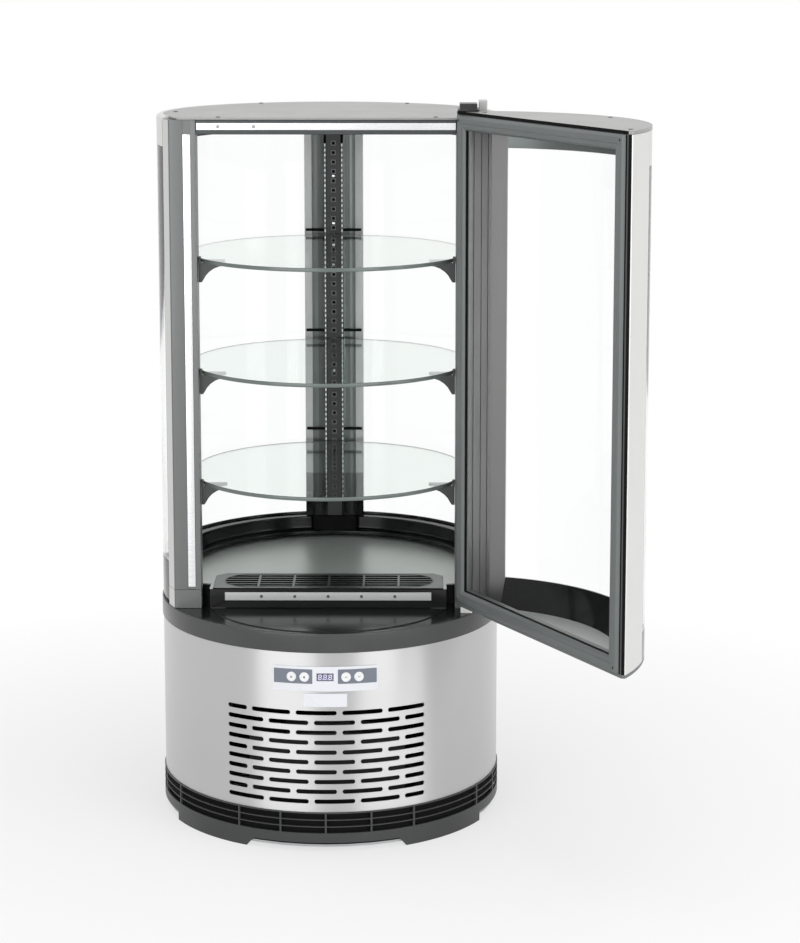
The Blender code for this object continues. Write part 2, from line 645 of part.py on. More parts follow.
def make_controls():
    """Film panel with a display and four push buttons, and the box of electronics behind it."""
    button_angles = (-BUTTON_OUTER_DEG, -BUTTON_INNER_DEG, BUTTON_INNER_DEG, BUTTON_OUTER_DEG)
    middle = SHELL_TOP - PANEL_DROP
    outer = CASE_RADIUS + FIT + PANEL_THICKNESS
    scale = outer / CASE_RADIUS
    half_display = DISPLAY_LENGTH / 2 + FIT
    holes = [circle(BUTTON_RADIUS + FIT, 16, (math.radians(a) * outer, CONTROL_Z)) for a in button_angles]
    holes.append(rectangle(-half_display, half_display, CONTROL_Z - DISPLAY_HEIGHT / 2 - FIT,
                           CONTROL_Z + DISPLAY_HEIGHT / 2 + FIT))
    bent_plate("control_panel", PANEL_LENGTH / 2 * scale, middle - PANEL_HEIGHT / 2,
               middle + PANEL_HEIGHT / 2, outer, PANEL_THICKNESS, holes, 0.0, "panel_film")
    bent_plate("display_window", DISPLAY_LENGTH / 2, CONTROL_Z - DISPLAY_HEIGHT / 2,
               CONTROL_Z + DISPLAY_HEIGHT / 2, outer, PANEL_THICKNESS, [], 0.0, "display_window")
    for number, angle in enumerate(button_angles, start=1):
        button = prism(f"button_{number}", circle(BUTTON_RADIUS, 16), -BUTTON_DEPTH, 0.0, "button_white")
        x, y = on_circle(CASE_RADIUS + BUTTON_PROUD, angle)
        button.location = (x, y, CONTROL_Z)
        outward = Vector((x, y, 0.0)).normalized()
        button.rotation_euler = outward.to_track_quat("Z", "Y").to_euler()
    front = CASE_RADIUS - CONTROL_BOX_BACKSET
    wing_radius = CASE_RADIUS - SHELL_WALL - 2 * FIT
    wing = wing_radius * math.cos(math.radians(FACET_DEG / 2))
    wing_x = CONTROL_BOX_HALF + 0.010
    wing_y = math.sqrt(wing ** 2 - wing_x ** 2)
    outline = mirrored([(CONTROL_BOX_HALF, -front), (wing_x, -wing_y), (wing_x, -wing_y + 0.004),
                        (CONTROL_BOX_HALF, -front + 0.006), (CONTROL_BOX_HALF, -front + CONTROL_BOX_DEPTH)])
    top = CONTROL_Z + CONTROL_BOX_HEIGHT / 2
    prism("control_box", outline, top - CONTROL_BOX_HEIGHT, top, "dark_plastic")


def fan_blade(name, radius, depth, blades, finish_name):
    """Hub with twisted blades on the local Z axis, as one closed body."""
    rotor = prism(name, circle(FAN_HUB_RADIUS, 16), -depth / 2, depth / 2, finish_name)
    bm = bmesh.new()
    inner = FAN_HUB_RADIUS * 0.7
    width = radius * 0.55
    for k in range(blades):
        verts = []
        for r, pitch in ((inner, 40.0), (radius, 24.0)):
            rise = 0.5 * width * math.sin(math.radians(pitch))
            side = 0.5 * width * math.cos(math.radians(pitch))
            for s, t in ((-1, -1), (1, -1), (1, 1), (-1, 1)):
                height = s * min(rise, depth / 2 - 0.001) + t * 0.0006
                reach = math.sqrt(r ** 2 - side ** 2) if r > side else r * 0.6
                verts.append(bm.verts.new((reach, s * side * (1 if r > side else 0.5), height)))
        low, high = verts[:4], verts[4:]
        faces = [low, high[::-1]] + [[low[i], high[i], high[(i + 1) % 4], low[(i + 1) % 4]] for i in range(4)]
        for face in faces:
            bm.faces.new(face)
        turn = Matrix.Rotation(math.radians(360.0 * k / blades), 4, "Z")
        bmesh.ops.transform(bm, matrix=turn, verts=verts)
    combine(rotor, bm, "UNION")
    bore = prisms([circle(SHAFT_RADIUS + FIT, 12)], -depth, depth)
    return combine(rotor, bore, "DIFFERENCE")


def fan_frame(name, half, depth, radius, bore_depth, finish_name):
    """Square frame with a round bore, three motor arms and a motor with its shaft, along local Z."""
    frame = prism(name, rectangle(-half, half, -half, half), -depth / 2, depth / 2, finish_name)
    combine(frame, prisms([circle(radius + FAN_TIP_GAP, 24)], -depth, depth), "DIFFERENCE")
    low = -depth / 2
    arm_top = depth / 2 - bore_depth - 0.002
    arms = bmesh.new()
    add_prism(arms, circle(FAN_HUB_RADIUS * 0.9, 16), low, arm_top)
    combine(frame, arms, "UNION")
    for k in range(3):
        arm = bmesh.new()
        add_prism(arm, rectangle(0.0, radius + FAN_TIP_GAP + 0.001, -0.003, 0.003), low, low + 0.003)
        turn = Matrix.Rotation(math.radians(90 + 120 * k), 4, "Z")
        bmesh.ops.transform(arm, matrix=turn, verts=arm.verts[:])
        combine(frame, arm, "UNION")
    shaft = bmesh.new()
    add_prism(shaft, circle(SHAFT_RADIUS, 12), arm_top - 0.001, depth / 2)
    return combine(frame, shaft, "UNION")


def place(obj, location, turn=None):
    """Move a mesh built at the origin to its place, keeping the object's own origin on the part."""
    obj.location = location
    if turn is not None:
        obj.rotation_euler = turn
    return obj


def make_machine():
    """Compressor, condenser, evaporator and both fans, inside the base."""
    stand = PAN_TOP + FIT
    dome = [(0.0, stand), (COMPRESSOR_RADIUS * 0.8, stand), (COMPRESSOR_RADIUS, stand + 0.02),
            (COMPRESSOR_RADIUS, stand + COMPRESSOR_HEIGHT * 0.7),
            (COMPRESSOR_RADIUS * 0.6, stand + COMPRESSOR_HEIGHT * 0.95), (0.0, stand + COMPRESSOR_HEIGHT)]
    bm = bmesh.new()
    rings = [[bm.verts.new((x, y, z)) for x, y in circle(r, 16)] for r, z in dome[1:-1]]
    for ring, following in zip(rings, rings[1:]):
        for i in range(16):
            j = (i + 1) % 16
            bm.faces.new((ring[i], ring[j], following[j], following[i]))
    bm.faces.new(reversed(rings[0]))
    apex = bm.verts.new((0.0, 0.0, dome[-1][1]))
    for i in range(16):
        bm.faces.new((rings[-1][i], rings[-1][(i + 1) % 16], apex))
    place(mesh_object("compressor", bm, "compressor_paint"), (COMPRESSOR_X, COMPRESSOR_Y, 0.0))

    half = CONDENSER_WIDTH / 2
    back = CONDENSER_Y + CONDENSER_DEPTH / 2
    box("condenser", (-half, half), (CONDENSER_Y - CONDENSER_DEPTH / 2, back),
        (stand, stand + CONDENSER_HEIGHT), "fin_aluminium")
    fan_z = PAN_TOP + FAN_HEIGHT
    fan_y = back + FIT + FAN_FRAME_DEPTH / 2
    upright = (math.radians(90), 0.0, 0.0)
    frame = fan_frame("condenser_fan_frame", FAN_FRAME_HALF, FAN_FRAME_DEPTH, FAN_RADIUS,
                      FAN_DEPTH, "fan_plastic")
    place(frame, (0.0, fan_y, fan_z), upright)
    blade = fan_blade("condenser_fan_blade", FAN_RADIUS, FAN_DEPTH, 5, "fan_plastic")
    offset = FAN_FRAME_DEPTH / 2 - FAN_DEPTH / 2 - 0.001
    place(blade, (0.0, fan_y - offset, fan_z), upright)

    hang = FLOOR_BOTTOM - FIT
    half = EVAPORATOR_WIDTH / 2
    box("evaporator", (-half, half), (EVAPORATOR_Y - EVAPORATOR_DEPTH / 2, EVAPORATOR_Y + EVAPORATOR_DEPTH / 2),
        (hang - EVAPORATOR_HEIGHT, hang), "fin_aluminium")
    frame = fan_frame("evaporator_fan_frame", COOL_FAN_FRAME_HALF, COOL_FAN_FRAME_DEPTH,
                      COOL_FAN_RADIUS, COOL_FAN_DEPTH, "fan_plastic")
    cool_y = -GRILLE_CENTRE
    cool_z = hang - COOL_FAN_FRAME_DEPTH / 2
    place(frame, (0.0, cool_y, cool_z))
    blade = fan_blade("evaporator_fan_blade", COOL_FAN_RADIUS, COOL_FAN_DEPTH, 5, "fan_plastic")
    place(blade, (0.0, cool_y, cool_z + COOL_FAN_FRAME_DEPTH / 2 - COOL_FAN_DEPTH / 2 - 0.001))

    neck = GLAND_NECK_RADIUS
    start = CASE_RADIUS - 0.006
    gland = prism("cable_gland", circle(neck, 16, (0.0, GLAND_HEIGHT)), start,
                  CASE_RADIUS + GLAND_HEAD_LENGTH, "dark_plastic", axis="Y")
    head = prisms([circle(GLAND_HEAD_RADIUS, 16, (0.0, GLAND_HEIGHT))], CASE_RADIUS + FIT,
                  CASE_RADIUS + GLAND_HEAD_LENGTH * 0.7, axis="Y")
    combine(gland, head, "UNION")
    bore = prisms([circle(GLAND_BORE_RADIUS, 12, (0.0, GLAND_HEIGHT))], start - 0.01,
                  CASE_RADIUS + GLAND_HEAD_LENGTH + 0.01, axis="Y")
    combine(gland, bore, "DIFFERENCE")


def make_cabin_floor():
    """Moulded floor: round disc inside the collar, with the raised tub that carries the deck."""
    floor_radius = CASE_RADIUS + COLLAR_PROUD - COLLAR_WALL - FIT
    floor = prism("cabin_floor", arc(floor_radius, 0, 360)[:-1], FLOOR_BOTTOM, FLOOR_TOP, "black_gloss")
    shoulder = FRONT_PLANE - POST_DEPTH - 2 * FIT
    right = [(TUB_HALF_FRONT, -FRONT_PLANE + TUB_SETBACK), (TUB_HALF_FRONT, -shoulder)]
    outline = mirrored(right + arc(TUB_RADIUS, RING_START_DEG, 180)[:-1])
    outline.insert(len(outline) // 2, on_circle(TUB_RADIUS, 180))
    tub = bmesh.new()
    add_prism(tub, outline, FLOOR_TOP - 0.002, TUB_TOP)
    combine(floor, tub, "UNION")
    half = AIR_HOLE_LENGTH / 2
    hole = rectangle(-half, half, -GRILLE_CENTRE - AIR_HOLE_DEPTH / 2, -GRILLE_CENTRE + AIR_HOLE_DEPTH / 2)
    combine(floor, prisms([hole], FLOOR_BOTTOM - 0.01, TUB_TOP + 0.01), "DIFFERENCE")
    half = STRIKE_BOTTOM_HALF
    z = TUB_TOP - STRIKE_BOTTOM_DROP
    face = -FRONT_PLANE + TUB_SETBACK - FIT
    box("strike_bottom", (-half, half), (-FRONT_PLANE - STRIKE_PROUD, face),
        (z - STRIKE_BOTTOM_WIDTH / 2, z + STRIKE_BOTTOM_WIDTH / 2), "strike_steel")


def make_deck():
    """Steel deck, with the grille plate let into its front."""
    shoulder = FRONT_PLANE - POST_DEPTH - 2 * FIT
    narrow = GRILLE_PLATE_HALF - GRILLE_PLATE_CHAMFER
    rear = GRILLE_PLATE_REAR - FIT
    seam = GRILLE_PLATE_CHAMFER + GRILLE_PLATE_REAR + FIT
    right = [(narrow + FIT, -rear), (GRILLE_PLATE_HALF + FIT, -seam),
             (GRILLE_PLATE_HALF + FIT, -FRONT_PLANE + TUB_SETBACK), (TUB_HALF_FRONT, -FRONT_PLANE + TUB_SETBACK),
             (TUB_HALF_FRONT, -shoulder)]
    outline = mirrored(right + arc(DECK_RADIUS, RING_START_DEG, 180)[:-1])
    outline.insert(len(outline) // 2, on_circle(DECK_RADIUS, 180))
    prism("deck_plate", outline, DECK_BOTTOM, DECK_TOP, "brushed_steel")

    half = GRILLE_PLATE_HALF
    plate = mirrored([(half, -GRILLE_PLATE_FRONT), (half, -GRILLE_PLATE_CHAMFER - GRILLE_PLATE_REAR),
                      (narrow, -GRILLE_PLATE_REAR)])
    grille = prism("air_grille", plate, DECK_BOTTOM, DECK_TOP, "brushed_steel")
    slots = []
    cell = (GRILLE_LENGTH + GRILLE_BAR) / GRILLE_COLUMNS
    end_radius = GRILLE_DEPTH / 2
    for row in range(GRILLE_ROWS):
        y = -GRILLE_CENTRE + (row - (GRILLE_ROWS - 1) / 2) * GRILLE_PITCH
        away = min(abs(y + GRILLE_CENTRE) + GRILLE_SLOT / 2, end_radius)
        limit = GRILLE_LENGTH / 2 - end_radius + math.sqrt(end_radius ** 2 - away ** 2)
        for column in range(GRILLE_COLUMNS):
            x0 = -GRILLE_LENGTH / 2 - GRILLE_BAR / 2 + column * cell + GRILLE_BAR / 2
            x1 = x0 + cell - GRILLE_BAR
            x0, x1 = max(x0, -limit), min(x1, limit)
            slots.append(rectangle(x0, x1, y - GRILLE_SLOT / 2, y + GRILLE_SLOT / 2))
    combine(grille, prisms(slots, DECK_BOTTOM - 0.01, DECK_TOP + 0.01), "DIFFERENCE")


def make_channel_and_crown():
    """Bottom channel and top crown, which hold the side glass behind the posts."""
    step = CHANNEL_TOP - CHANNEL_GLASS_STEP
    ledge = CHANNEL_BOTTOM + CHANNEL_LEDGE_TOP
    profile = [(CASE_RADIUS, CHANNEL_BOTTOM), (CASE_RADIUS, CHANNEL_TOP), (GLASS_INNER - FIT, CHANNEL_TOP),
               (GLASS_INNER - FIT, step), (CHANNEL_INNER, step), (CHANNEL_INNER, ledge),
               (CHANNEL_LEDGE_RADIUS, ledge), (CHANNEL_LEDGE_RADIUS, ledge - CHANNEL_LEDGE_THICKNESS),
               (CHANNEL_INNER, ledge - CHANNEL_LEDGE_THICKNESS), (CHANNEL_INNER, CHANNEL_BOTTOM)]
    revolved("bottom_channel", profile, RING_START_DEG, 360 - RING_START_DEG, "black_gloss")
    outer = CASE_RADIUS + CROWN_PROUD
    seat = LID_RADIUS + FIT
    profile = [(outer, CROWN_BOTTOM), (outer, CROWN_TOP - CROWN_BEVEL), (outer - CROWN_BEVEL, CROWN_TOP),
               (seat, CROWN_TOP), (seat, SEAT_TOP), (CHANNEL_INNER, SEAT_TOP), (CHANNEL_INNER, CROWN_BOTTOM)]
    revolved("crown_ring", profile, RING_START_DEG, 360 - RING_START_DEG, "silver_paint")


def make_posts_and_header():
    """Front posts with a groove for the strike strip, and the beam between them."""
    groove_low = STRIKE_SIDE_X - STRIKE_WIDTH / 2 - FIT
    groove_high = STRIKE_SIDE_X + STRIKE_WIDTH / 2 + FIT
    start = CORNER_DEG + 0.35
    back = on_circle(CHANNEL_INNER, POST_END_DEG)
    outline = [(POST_INNER, -FRONT_PLANE), (groove_low, -FRONT_PLANE),
               (groove_low, -FRONT_PLANE + STRIKE_RECESS), (groove_high, -FRONT_PLANE + STRIKE_RECESS),
               (groove_high, -FRONT_PLANE), (CORNER_X - POST_CORNER_CUT, -FRONT_PLANE)]
    outline += arc(CASE_RADIUS, start, POST_END_DEG)
    outline += [back, (POST_INNER, -FRONT_PLANE + POST_DEPTH)]
    strike_top = LID_TOP - STRIKE_SIDE_TOP_DROP
    for side, word in ((-1, "left"), (1, "right")):
        shape = [(side * x, y) for x, y in outline]
        prism(f"post_{word}", shape, FLOOR_TOP + FIT, SEAT_TOP, "grey_profile")
        ends = sorted((side * (STRIKE_SIDE_X - STRIKE_WIDTH / 2), side * (STRIKE_SIDE_X + STRIKE_WIDTH / 2)))
        box(f"strike_{word}", ends, (-FRONT_PLANE - STRIKE_PROUD, -FRONT_PLANE + STRIKE_RECESS - FIT),
            (STRIKE_SIDE_LOW, strike_top), "strike_steel")
    middle = SEAT_TOP - STRIKE_TOP_DROP
    low = middle - STRIKE_TOP_WIDTH / 2
    high = middle + STRIKE_TOP_WIDTH / 2
    front = -FRONT_PLANE
    section = [(front, SEAT_TOP - HEADER_HEIGHT), (front, low - FIT), (front + STRIKE_RECESS, low - FIT),
               (front + STRIKE_RECESS, high + FIT), (front, high + FIT), (front, SEAT_TOP),
               (front + HEADER_DEPTH, SEAT_TOP), (front + HEADER_DEPTH, SEAT_TOP - HEADER_HEIGHT)]
    half = POST_INNER - FIT
    prism("header_beam", section, -half, half, "grey_profile", axis="X")
    box("strike_top", (-half + FIT, half - FIT), (front - STRIKE_PROUD, front + STRIKE_RECESS - FIT),
        (low, high), "strike_steel")


def make_glass_and_lid():
    for side, word in ((-1, "left"), (1, "right")):
        edges = (RING_START_DEG, COLUMN_EDGE_DEG) if side > 0 else (360 - COLUMN_EDGE_DEG, 360 - RING_START_DEG)
        profile = [(CASE_RADIUS, GLASS_BOTTOM), (CASE_RADIUS, GLASS_TOP),
                   (GLASS_INNER, GLASS_TOP), (GLASS_INNER, GLASS_BOTTOM)]
        revolved(f"glass_{word}", profile, edges[0], edges[1], "clear_glass")
    front = FRONT_PLANE + LID_OVERHANG
    start = math.degrees(math.atan2(math.sqrt(LID_RADIUS ** 2 - front ** 2), front))
    outline = mirrored(arc(LID_RADIUS, start, 180)[:-1])
    outline.insert(len(outline) // 2, on_circle(LID_RADIUS, 180))
    prism("lid", outline, LID_BOTTOM, LID_TOP, "silver_paint")


def make_column():
    """Rear column between the glass panes, with the perforated shelf rail on its face."""
    face_y = COLUMN_FRONT
    flange_y = COLUMN_FRONT + COLUMN_FLANGE_SETBACK
    edge = math.degrees(math.asin(COLUMN_HALF / CASE_RADIUS))
    outline = [(-COLUMN_HALF, flange_y), (-COLUMN_FACE_HALF, face_y), (COLUMN_FACE_HALF, face_y),
               (COLUMN_HALF, flange_y)] + arc(CASE_RADIUS, 180 - edge, 180 + edge)
    prism("rear_column", outline, GLASS_BOTTOM, GLASS_TOP, "grey_profile")
    low = GLASS_BOTTOM + RAIL_END / 10
    high = GLASS_TOP - RAIL_END / 10
    front = face_y - FIT - RAIL_THICKNESS
    rail = prism("shelf_rail", rectangle(-RAIL_HALF, RAIL_HALF, low, high), front, face_y - FIT,
                 "black_steel", axis="Y")
    count = int((high - low - 2 * RAIL_END) / RAIL_PITCH)
    first = high - RAIL_END
    half = RAIL_HOLE / 2
    holes = [rectangle(-half, half, first - k * RAIL_PITCH - half, first - k * RAIL_PITCH + half)
             for k in range(count + 1)]
    combine(rail, prisms(holes, front - 0.01, face_y + 0.01, axis="Y"), "DIFFERENCE")


def support_outline(edge_gap, glass_low):
    """Side view of a shelf support: distance from the face that carries it, and height."""
    top = glass_low - FIT
    clip_top = glass_low + SHELF_THICKNESS + SUPPORT_CLIP_RISE
    clip = min(SUPPORT_CLIP, edge_gap - FIT)
    low = top - SUPPORT_DROP
    points = [(FIT, low), (FIT, clip_top), (clip, clip_top), (clip, top), (SUPPORT_REACH, top),
              (SUPPORT_REACH, top - SUPPORT_TIP)]
    # The lower edge is a concave, slightly flattened quarter ellipse from the tip to the toe.
    for k in range(1, 6):
        angle = math.radians(90 - 15 * k)
        x = SUPPORT_REACH - (SUPPORT_REACH - SUPPORT_TOE) * math.cos(angle)
        z = low + (SUPPORT_DROP - SUPPORT_TIP) * math.sin(angle) ** 1.3
        points.append((x, z))
    points.append((SUPPORT_TOE - 0.0015, low))
    return points


def make_shelves():
    """Three round glass shelves, each on two side supports and one rear support."""
    side_gap = POST_INNER - math.sqrt(SHELF_RADIUS ** 2 - SUPPORT_Y ** 2)
    rear_face = COLUMN_FRONT - FIT - RAIL_THICKNESS
    rear_gap = rear_face - SHELF_RADIUS
    half = SUPPORT_THICKNESS / 2
    for number, top in enumerate(SHELF_TOPS, start=1):
        low = top - SHELF_THICKNESS
        prism(f"shelf_{number}", arc(SHELF_RADIUS, 0, 360)[:-1], low, top, "clear_glass")
        outline = support_outline(side_gap, low)
        for side, word in ((-1, "left"), (1, "right")):
            shape = [(side * (POST_INNER - d), z) for d, z in outline]
            prism(f"support_{number}_{word}", shape, -SUPPORT_Y - half, -SUPPORT_Y + half,
                  "dark_plastic", axis="Y")
        shape = [(rear_face - d, z) for d, z in support_outline(rear_gap, low)]
        prism(f"support_{number}_rear", shape, -half, half, "dark_plastic", axis="X")


def door_piece(obj, axis_empty):
    """Hang a piece that was drawn closed, in the case's frame, on the door's axis."""
    obj.data.transform(Matrix.Translation(-HINGE))
    obj.parent = axis_empty
    return obj


def banded_plate(name, corner, band_end, foot_radius, low, plate_high, band_high, finish_name):
    """Flat plate of the door with a curved band standing on its front edge, as one closed body.

    Heights run from the plate's far face to its near face and on to the end of the band, whose
    inner face leans from the foot radius to the inner radius of the glass.
    """
    outer = arc(CASE_RADIUS, band_end, -band_end)
    foot = arc(foot_radius, band_end, -band_end)
    rim = arc(GLASS_INNER, band_end, -band_end)
    right = corner + arc(CASE_RADIUS, DOOR_CORNER_DEG, band_end)[:-1]
    left = [(-x, y) for x, y in reversed(right)]
    bm = bmesh.new()

    def ring(points, height):
        return [bm.verts.new((x, y, height)) for x, y in points]

    far = ring(right + outer + left, low)
    near_right, near_outer, near_left = (ring(p, plate_high) for p in (right, outer, left))
    near_inner = ring(foot, plate_high)
    band_outer, band_inner = ring(outer, band_high), ring(rim, band_high)
    near = near_right + near_outer + near_left

    def wall(lower, upper, closed=False):
        for i in range(len(lower) if closed else len(lower) - 1):
            j = (i + 1) % len(lower)
            bm.faces.new((lower[i], lower[j], upper[j], upper[i]))

    bm.faces.new(far)
    wall(far, near, closed=True)
    bm.faces.new(near_right + near_outer[:1] + near_inner + near_outer[-1:] + near_left)
    wall(near_outer, band_outer)
    wall(near_inner, band_inner)
    wall([near_outer[0], near_inner[0]], [band_outer[0], band_inner[0]])
    wall([near_outer[-1], near_inner[-1]], [band_outer[-1], band_inner[-1]])
    bm.faces.new(band_outer + band_inner[::-1])
    return mesh_object(name, bm, finish_name)


def make_door():
    axis_empty = bpy.data.objects.new("door_axis", None)
    axis_empty.location = HINGE
    axis_empty.rotation_euler = (0.0, 0.0, math.radians(OPEN_DEG))
    bpy.context.scene.collection.objects.link(axis_empty)
    pieces = []
    frame_front = FRAME_FACE + FRAME_THICKNESS
    # The hinge corner turns about the hinge axis, from the case circle to the straight rear edge.
    rise = -DOOR_REBATE - HINGE_Y
    corner_x = HINGE_X + math.sqrt(DOOR_CORNER_RADIUS ** 2 - rise ** 2)
    on_case = on_circle(CASE_RADIUS, DOOR_CORNER_DEG)
    turn_start = math.atan2(on_case[1] - HINGE_Y, on_case[0] - HINGE_X)
    turn_middle = (turn_start + math.atan2(rise, corner_x - HINGE_X)) / 2
    corner_mid = (HINGE_X + DOOR_CORNER_RADIUS * math.cos(turn_middle),
                  HINGE_Y + DOOR_CORNER_RADIUS * math.sin(turn_middle))

    # Vertical edge profiles of the skin
    reveal = on_circle(GLASS_INNER, DOOR_REVEAL_DEG)
    section = arc(CASE_RADIUS, DOOR_PROFILE_DEG, DOOR_CORNER_DEG)
    section += [corner_mid, (corner_x, -DOOR_REBATE), (FRAME_OUTER + FIT, -DOOR_REBATE),
                (FRAME_OUTER + FIT, -frame_front - FIT), (FRAME_INNER, -frame_front - FIT), reveal]
    section += arc(GLASS_INNER, DOOR_REVEAL_DEG, DOOR_PROFILE_DEG)[1:]
    for side, word in ((1, "hinge"), (-1, "free")):
        shape = [(side * x, y) for x, y in section]
        pieces.append(prism(f"door_profile_{word}", shape, DOOR_SKIN_BOTTOM, DOOR_SKIN_TOP, "silver_paint"))

    # Top cap and bottom tray: a flat plate with a curved band between the edge profiles
    corner = [(corner_x, -DOOR_REBATE), corner_mid]
    band_end = DOOR_PROFILE_DEG - 2 * FIT_DEG
    pin_hole = [circle(PIN_RADIUS + PIN_CLEARANCE, 16, (HINGE_X, HINGE_Y))]
    cap = banded_plate("door_top_cap", corner, band_end, GLASS_INNER, DOOR_TOP, DOOR_TOP - DOOR_PLATE,
                       DOOR_TOP - DOOR_TOP_BAND, "silver_paint")
    pieces.append(combine(cap, prisms(pin_hole, DOOR_TOP - 0.02, DOOR_TOP + 0.01), "DIFFERENCE"))
    tray = banded_plate("door_bottom_tray", corner, band_end, DOOR_BAND_FOOT, DOOR_BOTTOM,
                        DOOR_BOTTOM + DOOR_PLATE, DOOR_BOTTOM + DOOR_BAND, "black_gloss")
    pieces.append(combine(tray, prisms(pin_hole, DOOR_BOTTOM - 0.01, DOOR_BOTTOM + 0.02), "DIFFERENCE"))

    # Curved glass between the bands
    pane = arc(CASE_RADIUS, -band_end, band_end) + arc(GLASS_INNER, band_end, -band_end)
    pieces.append(prism("door_glass", pane, DOOR_GLASS_BOTTOM, DOOR_GLASS_TOP, "clear_glass"))

    # Flat frame behind the glass, and the magnetic gasket on its rear face
    low, high = DOOR_SKIN_BOTTOM, DOOR_SKIN_TOP
    frame_profile = [(0.0, -FRAME_FACE), (0.0, -frame_front), (FRAME_BAR, -frame_front),
                     (FRAME_BAR, -FRAME_FACE)]
    side_bar = FRAME_OUTER - FRAME_INNER
    pieces.append(mitred_frame("door_frame", frame_profile, FRAME_OUTER, low, high, side_bar, "grey_profile"))
    lip = GASKET_FACE + GASKET_CHAMFER
    base = FRAME_FACE - FIT
    gasket_profile = [(0.0, -lip), (0.0, -base), (GASKET_WIDTH, -base), (GASKET_WIDTH, -lip),
                      (GASKET_WIDTH - GASKET_CHAMFER, -GASKET_FACE), (GASKET_CHAMFER, -GASKET_FACE)]
    pieces.append(mitred_frame("door_gasket", gasket_profile, GASKET_OUTER, low, high, GASKET_WIDTH, "rubber"))
    for piece in pieces:
        door_piece(piece, axis_empty)


def mitred_frame(name, profile, half_width, low, high, side_width, finish_name):
    """Carry a (distance from the outer edge, y) profile around an upright rectangle with mitred corners."""
    bm = bmesh.new()
    widest = max(d for d, _ in profile)
    rings = []
    for x, z, inward_x, inward_z in ((-half_width, low, 1, 1), (half_width, low, -1, 1),
                                     (half_width, high, -1, -1), (-half_width, high, 1, -1)):
        ring = []
        for d, y in profile:
            across = d * side_width / widest
            ring.append(bm.verts.new((x + inward_x * across, y, z + inward_z * d)))
        rings.append(ring)
    count = len(profile)
    for ring, following in zip(rings, rings[1:] + rings[:1]):
        for i in range(count):
            j = (i + 1) % count
            bm.faces.new((ring[i], following[i], following[j], ring[j]))
    return mesh_object(name, bm, finish_name)


def make_hinges():
    """Fixed hinge parts: bottom block with its pin, top bracket with its pin, and the bracket's cover."""
    half = HINGE_BLOCK_HALF
    block = box("hinge_block", (HINGE_X - half, HINGE_X + half), (HINGE_Y - half, HINGE_Y + half),
                (FLOOR_TOP + FIT, DOOR_BOTTOM - FIT), "white_nylon")
    hole = [circle(PIN_RADIUS + PIN_CLEARANCE, 16, (HINGE_X, HINGE_Y))]
    combine(block, prisms(hole, FLOOR_TOP - 0.01, DOOR_BOTTOM + 0.01), "DIFFERENCE")
    pin = circle(PIN_RADIUS, 16, (HINGE_X, HINGE_Y))
    prism("hinge_pin", pin, FLOOR_TOP + FIT, DOOR_BOTTOM + DOOR_PLATE, "strike_steel")
    x0, x1 = HINGE_X - HINGE_PLATE_HALF, HINGE_X + HINGE_PLATE_HALF
    front = HINGE_Y - HINGE_PLATE_FRONT
    back = HINGE_Y + HINGE_PLATE_BACK
    plate_low = DOOR_TOP + 2 * FIT
    plate_top = plate_low + HINGE_PLATE_THICKNESS
    bracket = box("hinge_bracket", (x0, x1), (front, back), (plate_low, plate_top), "black_steel")
    additions = (
        (rectangle(x0, x1, back - HINGE_FOOT_DEPTH, back), LID_TOP + FIT, plate_low + 0.001),
        (rectangle(x0 + 0.002, x1 - 0.002, front + 0.002, back - HINGE_FOOT_DEPTH),
         plate_top - 0.001, plate_top + HINGE_HEAD_HEIGHT),
        (pin, DOOR_TOP - DOOR_PLATE + FIT, plate_low + 0.001),
    )
    for outline, low, high in additions:
        extra = bmesh.new()
        add_prism(extra, outline, low, high)
        combine(bracket, extra, "UNION")
    box("hinge_cover", (x1 + FIT, x1 + FIT + HINGE_COVER_WIDTH), (back - HINGE_FOOT_DEPTH, back),
        (LID_TOP + FIT, HINGE_COVER_TOP), "silver_paint")


def main():
    for obj in list(bpy.data.objects):
        bpy.data.objects.remove(obj)
    make_plinth()
    make_base_shells()
    make_base_rings()
    make_controls()
    make_machine()
    make_cabin_floor()
    make_deck()
    make_channel_and_crown()
    make_posts_and_header()
    make_glass_and_lid()
    make_column()
    make_shelves()
    make_door()
    make_hinges()


main()
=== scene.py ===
import math
import bmesh
import bpy
import numpy as np
from mathutils.geometry import delaunay_2d_cdt
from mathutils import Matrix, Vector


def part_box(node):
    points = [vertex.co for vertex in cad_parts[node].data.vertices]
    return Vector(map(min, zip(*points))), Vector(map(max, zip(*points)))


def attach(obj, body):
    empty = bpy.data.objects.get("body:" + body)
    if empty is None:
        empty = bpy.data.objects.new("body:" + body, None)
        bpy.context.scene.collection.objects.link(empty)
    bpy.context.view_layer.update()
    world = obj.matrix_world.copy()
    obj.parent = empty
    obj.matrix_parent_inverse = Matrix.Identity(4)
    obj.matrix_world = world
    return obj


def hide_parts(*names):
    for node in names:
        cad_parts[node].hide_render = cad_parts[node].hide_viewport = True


# Round countertop cake display case with its curved glass door standing open.
# Metres, +Z up, front towards -Y. Angles around the case's axis count from the front, positive towards +X.
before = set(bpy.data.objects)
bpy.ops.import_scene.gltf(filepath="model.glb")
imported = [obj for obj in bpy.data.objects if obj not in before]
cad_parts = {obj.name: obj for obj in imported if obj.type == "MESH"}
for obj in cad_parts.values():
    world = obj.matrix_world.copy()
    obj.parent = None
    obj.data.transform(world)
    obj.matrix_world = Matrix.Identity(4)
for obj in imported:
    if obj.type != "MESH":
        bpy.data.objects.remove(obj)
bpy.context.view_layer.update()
scene = bpy.context.scene
print("frame loaded:", len(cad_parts), "nodes")

